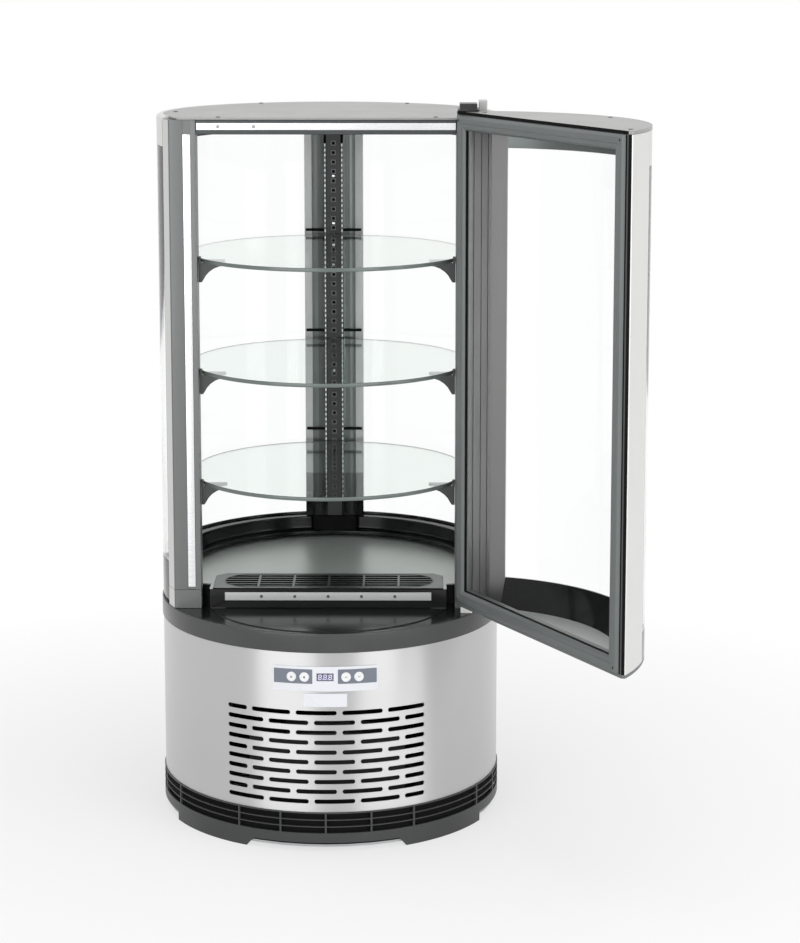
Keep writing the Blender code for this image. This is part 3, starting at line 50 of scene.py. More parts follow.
# The round plan that every curved piece shares
plan = {
    "radius": 0.2235,        # steel skin, glass, bands and door
    "front": 0.100,          # flat front of the cabin, in front of the axis
    "glassWall": 0.0040,
    "stepDeg": 1.5,          # arc length of one step of a round surface, in degrees
    "ringStartDeg": 69.65,   # rings and glass begin behind the posts
    "glassEdge": 0.0004,     # cut at the corners of a pane's section
    "columnHalf": 0.0405,    # half the width of the rear column between the panes
    "gap": 0.0003,           # play between pieces that fit together
}
ringEnds = (plan["ringStartDeg"], 360 - plan["ringStartDeg"])
ringCount = round(360 / plan["stepDeg"])
hinge = {"x": 0.1800, "y": -0.1165, "openDeg": 119.5}


# Shapes worked out with numpy

def around(radius, degrees):
    # point of the plan at an angle from the front: (r sin a, -r cos a)
    a = np.radians(np.asarray(degrees, float))
    return np.stack([radius * np.sin(a), -radius * np.cos(a)], -1)


def arcPoints(radius, start, end, step=None):
    # points of the plan along an arc about the axis, no further apart than a step in degrees
    count = max(2, int(math.ceil(abs(end - start) / (step or plan["stepDeg"]))) + 1)
    return around(radius, np.linspace(start, end, count))


def ringPoints(radius, count, centre=(0.0, 0.0)):
    # a full circle, its first point towards the front
    return around(radius, np.arange(count) * 360.0 / count) + np.asarray(centre)


def rectPoints(x0, x1, y0, y1):
    # the corners of a rectangle, anticlockwise
    return np.array([(x0, y0), (x1, y0), (x1, y1), (x0, y1)], float)


def roundedRect(x0, x1, y0, y1, radius, steps=5):
    # four quarter circles of the given radius joined by straight sides
    turn = np.radians(np.linspace(0, 90, steps + 1))
    quarter = radius * np.stack([np.cos(turn), np.sin(turn)], -1)
    corners = []
    for k, (cx, cy) in enumerate(((x1 - radius, y1 - radius), (x0 + radius, y1 - radius),
                                  (x0 + radius, y0 + radius), (x1 - radius, y0 + radius))):
        c, s = math.cos(math.pi / 2 * k), math.sin(math.pi / 2 * k)
        corners.append(quarter @ np.array([[c, s], [-s, c]]) + (cx, cy))
    return np.concatenate(corners)


def centredRect(x, y, width, height, radius=0.0, steps=5):
    # a rectangle by its middle and sizes, with round corners where a radius is given
    sides = (x - width / 2, x + width / 2, y - height / 2, y + height / 2)
    return roundedRect(*sides, radius, steps) if radius else rectPoints(*sides)


def stripOutline(x, low, high):
    # a strip between two heights with a point at every x of an array, along its foot and back
    return np.concatenate([np.column_stack([x, np.full(len(x), low)]),
                           np.column_stack([x[::-1], np.full(len(x), high)])])


def wallSection(radius, wall, low, high):
    # the (radius, height) section of a plain ring wall
    return [(radius, low), (radius, high), (radius - wall, high), (radius - wall, low)]


def softened(points, radius, steps=4):
    # every corner of a closed outline becomes a quadratic curve that starts and ends a cut away from it;
    # the cut is the radius, or less than half of the shorter neighbouring side
    p = np.asarray(points, float)
    radius = np.broadcast_to(np.asarray(radius, float), (len(p),))
    before, after = np.roll(p, 1, 0) - p, np.roll(p, -1, 0) - p
    lb, la = np.linalg.norm(before, axis=1), np.linalg.norm(after, axis=1)
    cut = np.minimum(radius, 0.48 * np.minimum(lb, la))[:, None]
    start, end = p + before / lb[:, None] * cut, p + after / la[:, None] * cut
    t = np.linspace(0, 1, steps + 1)[None, :, None]
    curve = (1 - t) ** 2 * start[:, None] + 2 * t * (1 - t) * p[:, None] + t ** 2 * end[:, None]
    out = [curve[i] if cut[i, 0] > 1e-6 else p[i:i + 1] for i in range(len(p))]
    return np.concatenate(out)


def sweep(rings, closed=False):
    # rings of equal length joined by quads, capped at both ends unless the sweep is closed
    rings = np.asarray(rings, float)
    k, m = rings.shape[:2]
    rows = np.arange(k if closed else k - 1)[:, None]
    cols = np.arange(m)[None, :]
    a = rows * m + cols
    b = rows * m + (cols + 1) % m
    c = ((rows + 1) % k) * m + (cols + 1) % m
    d = ((rows + 1) % k) * m + cols
    faces = np.stack([a, b, c, d], -1).reshape(-1, 4).tolist()
    if not closed:
        faces += [list(range(m))[::-1], list(range((k - 1) * m, k * m))]
    return rings.reshape(-1, 3), faces


def revolve(profile, start=0.0, end=360.0, step=None):
    # a closed (radius, height) profile carried around the case's axis
    profile = np.asarray(profile, float)
    full = end - start >= 360
    count = int(math.ceil((end - start) / (step or plan["stepDeg"]))) + 1
    a = np.linspace(start, end, count)[:-1 if full else None]
    flat = around(1.0, a)
    rings = np.empty((len(a), len(profile), 3))
    rings[:, :, :2] = profile[None, :, :1] * flat[:, None, :]
    rings[:, :, 2] = profile[None, :, 1]
    return sweep(rings, closed=full)


def turned(profile, count=32):
    # an open (radius, height) profile from axis to axis, turned about Z, with one vertex at each pole
    profile = np.asarray(profile, float)
    inner = profile[1:-1]
    flat = around(1.0, np.arange(count) * 360.0 / count)
    grid = np.empty((len(inner), count, 3))
    grid[:, :, :2] = inner[:, None, :1] * flat[None]
    grid[:, :, 2] = inner[:, None, 1]
    verts = np.concatenate([[(0, 0, profile[0, 1])], grid.reshape(-1, 3), [(0, 0, profile[-1, 1])]])
    col = np.arange(count)
    following = (col + 1) % count
    faces = [[0, 1 + j, 1 + i] for i, j in zip(col, following)]
    for row in range(len(inner) - 1):
        low, high = 1 + row * count, 1 + (row + 1) * count
        faces += np.stack([low + col, low + following, high + following, high + col], -1).tolist()
    last = 1 + (len(inner) - 1) * count
    faces += [[last + i, last + j, len(verts) - 1] for i, j in zip(col, following)]
    return verts, faces


def extrude(outline, low, high, axis="Z"):
    # a closed outline carried straight along Z, or along X where it is drawn in (y, z)
    outline = np.asarray(outline, float)
    ends = [np.full(len(outline), c) for c in (low, high)]
    return sweep(np.stack([np.column_stack([e, outline] if axis == "X" else [outline, e]) for e in ends]))


def insideOutline(points, outline):
    # even-odd test of many points against one outline at once
    x, y = points[:, :1], points[:, 1:]
    x0, y0 = outline[:, 0][None], outline[:, 1][None]
    x1, y1 = np.roll(outline[:, 0], -1)[None], np.roll(outline[:, 1], -1)[None]
    spans = (y0 > y) != (y1 > y)
    cross = x0 + (y - y0) * (x1 - x0) / np.where(y1 == y0, 1, y1 - y0)
    return (spans & (x < cross)).sum(1) % 2 == 1


def divided(loop, step):
    # every side of a closed outline is cut into equal lengths no longer than the step
    ends = np.roll(loop, -1, 0)
    count = np.maximum(1, np.ceil(np.linalg.norm(ends - loop, axis=1) / step - 1e-6).astype(int))
    parts = [a + (b - a) * (np.arange(n) / n)[:, None] for a, b, n in zip(loop, ends, count)]
    return np.concatenate(parts)


def plate(outline, holes=(), thickness=0.001, grid=None, wrap=None):
    # a sheet cut from an outline with holes: both faces are triangulated alike, and walls stand on every
    # edge that has one triangle; wrap carries (u, v, depth) into space, and grid adds points inside
    loops = [np.asarray(outline, float)] + [np.asarray(h, float) for h in holes]
    if grid:
        loops = [divided(loop, grid[0]) for loop in loops]
    points = np.concatenate(loops)
    edges, first = [], 0
    for loop in loops:
        edges += [(first + i, first + (i + 1) % len(loop)) for i in range(len(loop))]
        first += len(loop)
    if grid:
        lo, hi = points.min(0), points.max(0)
        u = np.linspace(lo[0], hi[0], max(2, int((hi[0] - lo[0]) / grid[0])) + 1)[1:-1]
        v = np.linspace(lo[1], hi[1], max(2, int((hi[1] - lo[1]) / grid[1])) + 1)[1:-1]
        mesh = np.stack(np.meshgrid(u, v), -1).reshape(-1, 2)
        keep = insideOutline(mesh, loops[0])
        for hole in loops[1:]:
            keep &= ~insideOutline(mesh, hole)
        near = np.min(np.linalg.norm(mesh[:, None] - points[None], axis=2), axis=1)
        clear = 0.35 * min(grid)  # points of the grid keep this far from every outline
        points = np.concatenate([points, mesh[keep & (near > clear)]])
    result = delaunay_2d_cdt([tuple(p) for p in points.tolist()], edges, [], 1, 1e-7)
    uv = np.array([tuple(v) for v in result[0]])
    tris = np.array([f for f in result[2]])
    middle = uv[tris].mean(1)
    keep = insideOutline(middle, loops[0])
    for hole in loops[1:]:
        keep &= ~insideOutline(middle, hole)
    tris = tris[keep]
    a, b = uv[tris[:, 1]] - uv[tris[:, 0]], uv[tris[:, 2]] - uv[tris[:, 0]]
    flipped = a[:, 0] * b[:, 1] - a[:, 1] * b[:, 0] < 0
    tris[flipped] = tris[flipped][:, ::-1]
    used, tris = np.unique(tris, return_inverse=True)
    uv, tris = uv[used], tris.reshape(-1, 3)
    sides = np.concatenate([tris[:, [0, 1]], tris[:, [1, 2]], tris[:, [2, 0]]])
    keys = np.sort(sides, 1)
    _, index, counts = np.unique(keys, axis=0, return_index=True, return_counts=True)
    rim = sides[index[counts == 1]]
    n = len(uv)
    wrap = wrap or (lambda u, v, depth: np.column_stack([u, v, np.full(len(u), -depth)]))
    verts = np.concatenate([wrap(uv[:, 0], uv[:, 1], 0.0), wrap(uv[:, 0], uv[:, 1], thickness)])
    faces = tris.tolist() + (tris[:, ::-1] + n).tolist()
    faces += np.column_stack([rim[:, 1], rim[:, 0], rim[:, 0] + n, rim[:, 1] + n]).tolist()
    return verts, faces


def rolled(radius, centreDeg=0.0):
    # a flat sheet laid on the round base: length along the arc, depth towards the axis
    def wrap(u, v, depth):
        spot = around(1.0, np.degrees(u / radius) + centreDeg) * (radius - depth)
        return np.column_stack([spot, v])
    return wrap


def lying(top):
    # a flat sheet with its upper face at a height
    return lambda u, v, depth: np.column_stack([u, v, np.full(len(u), top - depth)])


def frontFacing(y):
    # a sheet drawn in (x, height), its face towards the front at the given y
    return lambda u, v, depth: np.column_stack([u, np.full(len(u), y + depth), v])


def joined(*parts):
    # several closed shells in one mesh
    verts, faces, first = [], [], 0
    for v, f in parts:
        verts.append(np.asarray(v, float))
        faces += [[i + first for i in face] for face in f]
        first += len(v)
    return np.concatenate(verts), faces


def copies(part, offsets):
    # the same shell at many places
    v, f = part
    offsets = np.asarray(offsets, float)
    verts = (np.asarray(v)[None] + offsets[:, None]).reshape(-1, 3)
    faces = [[i + k * len(v) for i in face] for k in range(len(offsets)) for face in f]
    return verts, faces


def boxShell(x0, x1, y0, y1, z0, z1):
    # a plain box between its faces
    return extrude(rectPoints(x0, x1, y0, y1), z0, z1)


def turnedTo(part, place, direction):
    # a shell built on +Z, stood on a place with +Z along a direction
    d = np.asarray(direction, float)
    d = d / np.linalg.norm(d)
    side = np.cross((0.0, 0.0, 1.0), d)
    side = side / np.linalg.norm(side) if np.linalg.norm(side) > 1e-6 else np.array([1.0, 0.0, 0.0])
    basis = np.stack([side, np.cross(d, side), d])
    return np.asarray(part[0]) @ basis + np.asarray(place), part[1]


def swung(vectors, degrees):
    # the plan parts of vectors turned by an angle: (x cos a - y sin a, x sin a + y cos a)
    c, s = math.cos(math.radians(degrees)), math.sin(math.radians(degrees))
    x, y = vectors[:, 0], vectors[:, 1]
    return np.column_stack([c * x - s * y, s * x + c * y])


def opened(part):
    # a door piece drawn shut, turned about the hinge to the open angle
    v = np.array(part[0], float)
    axis = np.array([hinge["x"], hinge["y"]])
    v[:, :2] = axis + swung(v[:, :2] - axis, hinge["openDeg"])
    return v, part[1]


def turnedShut(centres, normals):
    # places and directions of an open door piece, seen from above, as they are when the door is shut
    axis = np.array([hinge["x"], hinge["y"]])
    return axis + swung(centres[:, :2] - axis, -hinge["openDeg"]), swung(normals, -hinge["openDeg"])


def heights(node):
    # lowest and highest z of a CAD node
    return [corner.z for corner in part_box(node)]


def piece(name, part, material, body="cabinet", replaces=(), slot=None, sharp=32, bevel=0.0,
          extra=(), choose=None, segments=2, bevelFrom=40):
    # makes the mesh, turns its faces outwards and hands it to its CAD body
    verts, faces = part
    mesh = bpy.data.meshes.new(name)
    mesh.from_pydata(np.asarray(verts, float).tolist(), [], faces)
    bm = bmesh.new()
    bm.from_mesh(mesh)
    bmesh.ops.recalc_face_normals(bm, faces=bm.faces[:])
    if bm.calc_volume(signed=True) < 0:
        bmesh.ops.reverse_faces(bm, faces=bm.faces[:])
    bm.to_mesh(mesh)
    bm.free()
    mesh.materials.append(material)
    for other in extra:
        mesh.materials.append(other)
    if choose is not None:
        centres = np.empty(len(mesh.polygons) * 3)
        normals = np.empty(len(mesh.polygons) * 3)
        mesh.polygons.foreach_get("center", centres)
        mesh.polygons.foreach_get("normal", normals)
        index = choose(centres.reshape(-1, 3), normals.reshape(-1, 3)).astype(np.int32)
        mesh.polygons.foreach_set("material_index", index)
    mesh.shade_smooth()
    mesh.set_sharp_from_angle(angle=math.radians(sharp))
    obj = bpy.data.objects.new(name, mesh)
    scene.collection.objects.link(obj)
    if bevel:
        modifier = obj.modifiers.new("edge", "BEVEL")
        modifier.width = bevel
        modifier.segments = segments
        modifier.limit_method = "ANGLE"
        modifier.angle_limit = math.radians(bevelFrom)
        modifier.harden_normals = True
    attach(obj, body)
    if replaces:
        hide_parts(*([replaces] if isinstance(replaces, str) else replaces))
    return obj


def bevelledCopy(node, name, material, body="cabinet", slot=None, bevel=0.0005, segments=2):
    # a flat-sided CAD node with its triangles merged and its edges rounded
    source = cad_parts[node].data
    bm = bmesh.new()
    bm.from_mesh(source)
    bmesh.ops.remove_doubles(bm, verts=bm.verts[:], dist=1e-6)
    bmesh.ops.dissolve_limit(bm, angle_limit=math.radians(0.5), verts=bm.verts[:], edges=bm.edges[:])
    verts = np.array([tuple(v.co) for v in bm.verts])
    faces = [[v.index for v in f.verts] for f in bm.faces]
    bm.free()
    return piece(name, (verts, faces), material, body, node, slot, bevel=bevel, segments=segments)


def screwHead(radius, height, count):
    # low dome on a short wall, with its underside closed
    a = np.radians(np.linspace(0, 80, 5))
    dome = np.column_stack([radius * np.cos(a), height * 0.35 + height * 0.65 * np.sin(a)])
    return turned(np.concatenate([[(0, 0)], [(radius, 0)], dome, [(0, height)]]), count)


def screws(name, material, spots, radius, height, facing=None, count=20, body="cabinet"):
    # the heads of several screws in one piece, facing one way or away from the case's axis
    heads = joined(*[turnedTo(screwHead(radius, height, count), s, facing or (*s[:2], 0)) for s in spots])
    piece(name, opened(heads) if body == "door" else heads, material, body, slot="strike_steel")


# Finishes

# noise scales in waves per metre, depths of relief in metres, and how far clouds and wiping change a gloss
pattern = {
    "brushedClouds": 7.0, "mouldedClouds": 11.0, "wiping": 5.0, "flicker": 900.0,
    "brushedRelief": 0.0002, "mouldedRelief": 0.0001, "cloudGloss": (-0.02, 0.03),
    "wipingRange": (0.45, 0.8), "flickerDark": 0.9,
}


def newMaterial(name):
    # a material, its nodes and its surface shader
    material = bpy.data.materials.new(name)
    material.use_nodes = True
    tree = material.node_tree
    return material, tree, tree.nodes["Principled BSDF"]


def noiseOn(tree, scale, stretch=(1, 1, 1), detail=4.0, roughness=0.55):
    # noise in the piece's own coordinates, stretched along chosen axes
    coords = tree.nodes.new("ShaderNodeTexCoord")
    mapping = tree.nodes.new("ShaderNodeMapping")
    mapping.inputs["Scale"].default_value = stretch
    noise = tree.nodes.new("ShaderNodeTexNoise")
    noise.inputs["Scale"].default_value = scale
    noise.inputs["Detail"].default_value = detail
    noise.inputs["Roughness"].default_value = roughness
    tree.links.new(coords.outputs["Object"], mapping.inputs["Vector"])
    tree.links.new(mapping.outputs["Vector"], noise.inputs["Vector"])
    return noise.outputs["Fac"]


def ranged(tree, value, low, high, fromLow=0.3, fromHigh=0.7):
    # a value carried straight from one range to another; noise lies mostly between 0.3 and 0.7
    node = tree.nodes.new("ShaderNodeMapRange")
    node.inputs["From Min"].default_value = fromLow
    node.inputs["From Max"].default_value = fromHigh
    node.inputs["To Min"].default_value = low
    node.inputs["To Max"].default_value = high
    tree.links.new(value, node.inputs["Value"])
    return node.outputs["Result"]


def colourBetween(tree, value, first, second):
    node = tree.nodes.new("ShaderNodeMix")
    node.data_type = "RGBA"
    node.inputs["A"].default_value = (*first, 1)
    node.inputs["B"].default_value = (*second, 1)
    tree.links.new(value, node.inputs["Factor"])
    return node.outputs["Result"]


def bumpFrom(tree, shader, value, strength, distance):
    bump = tree.nodes.new("ShaderNodeBump")
    bump.inputs["Strength"].default_value = strength
    bump.inputs["Distance"].default_value = distance
    tree.links.new(value, bump.inputs["Height"])
    tree.links.new(bump.outputs["Normal"], shader.inputs["Normal"])


def tinted(tree, shader, value, colour, contrast):
    # base colour that wanders between a darker and a lighter shade
    dark = tuple(c * (1 - contrast) for c in colour)
    light = tuple(min(1.0, c * (1 + contrast)) for c in colour)
    tree.links.new(colourBetween(tree, ranged(tree, value, 0, 1), dark, light), shader.inputs["Base Color"])


def brushedFinish(name, colour, roughness, stretch, metallic=1.0, contrast=0.06, bump=0.12, spread=0.06,
                  drawn=0.0):
    # metal ruled by fine lines: long thin noise drives colour, roughness and a faint relief; where it is
    # drawn, highlights spread across the lines, along the height
    material, tree, shader = newMaterial(name)
    shader.inputs["Metallic"].default_value = metallic
    lines = noiseOn(tree, 1.0, stretch, detail=3.0)
    clouds = noiseOn(tree, pattern["brushedClouds"], detail=3.0)
    tinted(tree, shader, lines, colour, contrast)
    add = tree.nodes.new("ShaderNodeMath")
    add.operation = "ADD"
    tree.links.new(ranged(tree, lines, roughness - spread / 2, roughness + spread / 2), add.inputs[0])
    tree.links.new(ranged(tree, clouds, *pattern["cloudGloss"]), add.inputs[1])
    tree.links.new(add.outputs["Value"], shader.inputs["Roughness"])
    bumpFrom(tree, shader, lines, bump, pattern["brushedRelief"])
    if drawn:
        tangent = tree.nodes.new("ShaderNodeTangent")
        tangent.direction_type = "RADIAL"
        tangent.axis = "Z"
        tree.links.new(tangent.outputs["Tangent"], shader.inputs["Tangent"])
        shader.inputs["Anisotropic"].default_value = drawn
        shader.inputs["Anisotropic Rotation"].default_value = 0.25
    return material


def mouldedFinish(name, colour, roughness, grain=420.0, bump=0.10, contrast=0.12, spread=0.08,
                  metallic=0.0, specular=0.5):
    # moulded or coated surface: fine grain in the relief, soft clouds in colour and gloss
    material, tree, shader = newMaterial(name)
    shader.inputs["Metallic"].default_value = metallic
    shader.inputs["Specular IOR Level"].default_value = specular
    clouds = noiseOn(tree, pattern["mouldedClouds"])
    grains = noiseOn(tree, grain, detail=2.0)
    tinted(tree, shader, clouds, colour, contrast)
    tree.links.new(ranged(tree, clouds, roughness - spread / 2, roughness + spread / 2),
                   shader.inputs["Roughness"])
    bumpFrom(tree, shader, grains, bump, pattern["mouldedRelief"])
    return material


def glassFinish(name, colour, roughness=0.0, smudge=0.02, bend=1.5):
    # clear glass with the faintest wiping marks in its gloss; bend is its index of refraction
    material, tree, shader = newMaterial(name)
    shader.inputs["Base Color"].default_value = (*colour, 1)
    shader.inputs["Transmission Weight"].default_value = 1.0
    shader.inputs["IOR"].default_value = bend
    marks = noiseOn(tree, pattern["wiping"], (1, 1, 3), detail=3.0)
    gloss = ranged(tree, marks, roughness, roughness + smudge, *pattern["wipingRange"])
    tree.links.new(gloss, shader.inputs["Roughness"])
    return material


def litFinish(name, colour, strength, roughness=0.4):
    # a surface that glows in its own colour
    material, tree, shader = newMaterial(name)
    flicker = noiseOn(tree, pattern["flicker"], detail=1.0)
    dark = tuple(c * pattern["flickerDark"] for c in colour)
    tree.links.new(colourBetween(tree, ranged(tree, flicker, 0, 1), dark, colour),
                   shader.inputs["Base Color"])
    shader.inputs["Emission Color"].default_value = (*colour, 1)
    shader.inputs["Emission Strength"].default_value = strength
    shader.inputs["Roughness"].default_value = roughness
    return material


paint = {"roughness": 0.34, "grain": 900, "bump": 0.05, "contrast": 0.02}
ruled = {"stretch": (60, 60, 3), "contrast": 0.03, "bump": 0.05}
label = {"grain": 900, "bump": 0.03, "contrast": 0.02}
skinSteel = brushedFinish("skin_steel", (0.54, 0.54, 0.54), 0.36, (7, 7, 2600), contrast=0.025, bump=0.06,
                          spread=0.04, drawn=0.9)
deckSteel = brushedFinish("deck_steel", (0.50, 0.535, 0.515), 0.34, (10, 2200, 10), metallic=0.5,
                          contrast=0.03, bump=0.06)
grilleSteel = brushedFinish("grille_steel", (0.16, 0.175, 0.17), 0.35, (14, 2200, 14), contrast=0.04)
traySteel = brushedFinish("tray_steel", (0.60, 0.63, 0.61), 0.34, (14, 2200, 14), metallic=0.3,
                          contrast=0.03, bump=0.05)
brightSteel = brushedFinish("bright_steel", (0.74, 0.75, 0.76), 0.24, (30, 30, 1200), contrast=0.03)
dullStrip = brushedFinish("dull_strip", (0.50, 0.51, 0.51), 0.45, (1200, 30, 30), metallic=0.3,
                          contrast=0.05)
silverCoat = mouldedFinish("silver_coat", (0.68, 0.68, 0.665), metallic=0.35, **paint)
wrapCoat = mouldedFinish("wrap_coat", (0.60, 0.60, 0.59), metallic=0.35, **paint)
flangeCoat = mouldedFinish("flange_coat", (0.39, 0.40, 0.40), metallic=0.35, **paint)
lidCoat = mouldedFinish("lid_coat", (0.30, 0.30, 0.295), metallic=0.2, **paint)
postCoat = brushedFinish("post_coat", (0.147, 0.153, 0.153), 0.36, metallic=0.4, **ruled)
coveCoat = brushedFinish("cove_coat", (0.105, 0.118, 0.116), 0.30, metallic=0.6, **ruled)
revealCoat = brushedFinish("reveal_coat", (0.148, 0.149, 0.147), 0.40, metallic=0.3, **ruled)
edgeGrey = brushedFinish("edge_grey", (0.075, 0.078, 0.078), 0.34, metallic=0.3,
                         **{**ruled, "contrast": 0.04})
darkCoat = brushedFinish("dark_coat", (0.045, 0.052, 0.052), 0.33, metallic=0.2,
                         **{**ruled, "contrast": 0.05})
collarPlastic = mouldedFinish("collar_plastic", (0.048, 0.049, 0.050), 0.24, grain=600, bump=0.06)
skirtPlastic = mouldedFinish("skirt_plastic", (0.036, 0.037, 0.038), 0.40, grain=520, bump=0.12)
darkPlastic = mouldedFinish("dark_plastic_grain", (0.045, 0.048, 0.049), 0.36, grain=700, bump=0.10)
glossBlack = mouldedFinish("gloss_black", (0.006, 0.0065, 0.0065), 0.12, grain=260, bump=0.02, spread=0.04,
                           specular=0.22)
floorBlack = mouldedFinish("floor_black", (0.005, 0.0055, 0.0055), 0.18, grain=260, bump=0.01, spread=0.03,
                           specular=0.40)
# near-black: the own colour of small black parts, and painted shade on the vent sheet, the grille's walls,
# the column's channel and the seal's walls
blackAndShade = mouldedFinish("black_and_painted_shade", (0.004, 0.004, 0.004), 0.80, grain=300, bump=0.2, specular=0.12)
screwGrey = mouldedFinish("screw_grey", (0.30, 0.30, 0.30), 0.40, grain=900, bump=0.05, metallic=0.6)
sealRubber = mouldedFinish("seal_rubber", (0.125, 0.137, 0.136), 0.42, grain=1500, bump=0.18, contrast=0.06)
clearGlass = glassFinish("clear_pane", (0.985, 0.995, 0.99), bend=1.22)
shelfGlass = glassFinish("shelf_pane", (0.84, 0.90, 0.87), bend=1.35)
glassRim = glassFinish("glass_rim", (0.56, 0.69, 0.63), 0.16, 0.10, bend=1.35)
shelfRim = mouldedFinish("shelf_rim", (0.125, 0.152, 0.140), 0.22, grain=700, bump=0.05, contrast=0.05)
whiteNylon = mouldedFinish("white_nylon_grain", (0.80, 0.80, 0.78), 0.42, grain=800, bump=0.08,
                           contrast=0.03)
blackSteel = mouldedFinish("black_steel_coat", (0.022, 0.022, 0.023), 0.34, grain=800, bump=0.10,
                           metallic=0.3)
finMetal = brushedFinish("fin_metal", (0.022, 0.022, 0.022), 0.5, (300, 300, 3), metallic=0.5)
panSteel = mouldedFinish("pan_steel", (0.42, 0.43, 0.44), 0.45, grain=60, bump=0.15, contrast=0.10,
                         metallic=0.9)
canPaint = mouldedFinish("can_paint", (0.012, 0.012, 0.013), 0.30, grain=200, bump=0.06)
buttonWhite = mouldedFinish("button_white_grain", (0.80, 0.80, 0.81), 0.32, **{**label, "bump": 0.04})
labelWhite = mouldedFinish("label_white", (0.74, 0.75, 0.79), 0.30, **label)
printBlue = mouldedFinish("print_grey_blue", (0.165, 0.185, 0.225), 0.35, **{**label, "contrast": 0.04})
displayDark = mouldedFinish("display_dark", (0.115, 0.115, 0.16), 0.18, grain=500, bump=0.02, contrast=0.05)
digitLight = litFinish("digit_light", (0.62, 0.62, 0.80), 0.55)
ledLight = litFinish("led_light", (0.60, 0.66, 0.63), 0.45)
print("finishes ready")


# Base: skirt, liner, skin and collar

skirt = {
    "radius": 0.2250, "wall": 0.0030, "top": 0.0516, "bandLow": 0.0115, "ventLow": 0.0243,
    "ventTop": 0.0502, "bar": 0.0012, "rows": 3, "ribWidthDeg": 0.6, "gridTall": 0.006,
    "ribDegs": (-90, -75, -60, -30, -15, 0, 15, 30, 60, 75, 90),
    "footInnerTopDeg": 24.6, "footInnerDeg": 27.2, "footOuterDeg": 62.0,
}


def makeSkirt(s):
    # each half is drawn flat, as arc length against height: feet hang from its lower edge, and rows of
    # vents are cut through it between the ribs
    perDeg = math.radians(1) * s["radius"]
    foot = [(s["footInnerTopDeg"], s["bandLow"]), (s["footInnerDeg"], 0.0), (s["footOuterDeg"], 0.0),
            (s["footOuterDeg"], s["bandLow"])]
    right = np.array(foot + [(90.0, s["bandLow"]), (90.0, s["top"])])
    outline = np.concatenate([right[::-1] * (-1, 1), right]) * (perDeg, 1)
    row = (s["ventTop"] - s["ventLow"] - (s["rows"] - 1) * s["bar"]) / s["rows"]
    holes = []
    for k in range(s["rows"]):
        low = s["ventLow"] + k * (row + s["bar"])
        for a, b in zip(s["ribDegs"][:-1], s["ribDegs"][1:]):
            count = max(2, int((b - a) / plan["stepDeg"]))
            x = np.linspace(a + s["ribWidthDeg"] / 2, b - s["ribWidthDeg"] / 2, count + 1) * perDeg
            holes.append(stripOutline(x, low, low + row))
    grid = (perDeg * plan["stepDeg"], s["gridTall"])
    return joined(*[plate(outline, holes, s["wall"], grid, rolled(s["radius"], turn)) for turn in (0, 180)])


piece("skirtRing", makeSkirt(skirt), skirtPlastic, replaces="plinth_ring", slot="dark_plastic")

# painted shade: a dark sheet behind the vents makes the openings read deep from every side
shadeSheet = {"radius": 0.2203, "wall": 0.0006, "low": 0.0088, "high": 0.0600, "stepDeg": 3}
piece("ventShadeSheet", revolve(wallSection(shadeSheet["radius"], shadeSheet["wall"], shadeSheet["low"], shadeSheet["high"]),
                           step=shadeSheet["stepDeg"]), blackAndShade, slot="dark_plastic")

skin = {
    "wall": 0.0012, "seamDeg": 97.5, "slotLength": 0.0523, "bridge": 0.0071, "slotHeight": 0.0058,
    "pitch": 0.01296, "rows": 10, "stagger": 0.0180, "field": 0.2660, "topDrop": 0.0783,
    "rearRows": 6, "rearField": 0.1700, "rearTopDrop": 0.0900, "gridTall": 0.010,
    "shortest": 1.5,         # a clipped slot shorter than this many heights is left out
    "endShare": 0.98,        # radius of a slot's ends as a share of half its height
}
controls = {
    "centreDrop": 0.0309, "cutLength": 0.1140, "cutHeight": 0.0220, "panelLength": 0.1340,
    "panelHeight": 0.0320, "panelDrop": 0.0334, "panelWall": 0.0012, "panelCorner": 0.0020,
    "displayLength": 0.0210, "displayHeight": 0.0095, "displayCorner": 0.0008,
    "buttonDegs": (-10.95, -6.74, 6.74, 10.95), "grid": (0.003, 0.004), "displayGrid": (0.002, 0.003),
}
skinLow, skinHigh = heights("base_shell_front")
controlZ = skinHigh - controls["centreDrop"]


def ventSlots(s, field, rows, top):
    # staggered rows of long holes with round ends, clipped to the field
    period, half, holes = s["slotLength"] + s["bridge"], field / 2, []
    reach = math.ceil(half / period) + 1
    for row in range(rows):
        phase = s["stagger"] * (1 if row % 2 == 0 else -1)
        z, h = top - row * s["pitch"], s["slotHeight"] / 2
        for k in range(-reach, reach):
            x0 = max(phase + k * period + s["bridge"] / 2, -half)
            x1 = min(phase + (k + 1) * period - s["bridge"] / 2, half)
            if x1 - x0 > s["shortest"] * s["slotHeight"]:
                holes.append(roundedRect(x0, x1, z - h, z + h, h * s["endShare"], 6))
    return holes


def makeSkin(halfDeg, holes, centreDeg):
    # a rolled sheet that reaches a number of degrees to each side of its middle
    half = math.radians(halfDeg) * plan["radius"] - plan["gap"]
    step = math.radians(plan["stepDeg"]) * plan["radius"]
    outline = stripOutline(np.linspace(-half, half, int(2 * half / step) + 1), skinLow, skinHigh)
    return plate(outline, holes, skin["wall"], (step, skin["gridTall"]), rolled(plan["radius"], centreDeg))


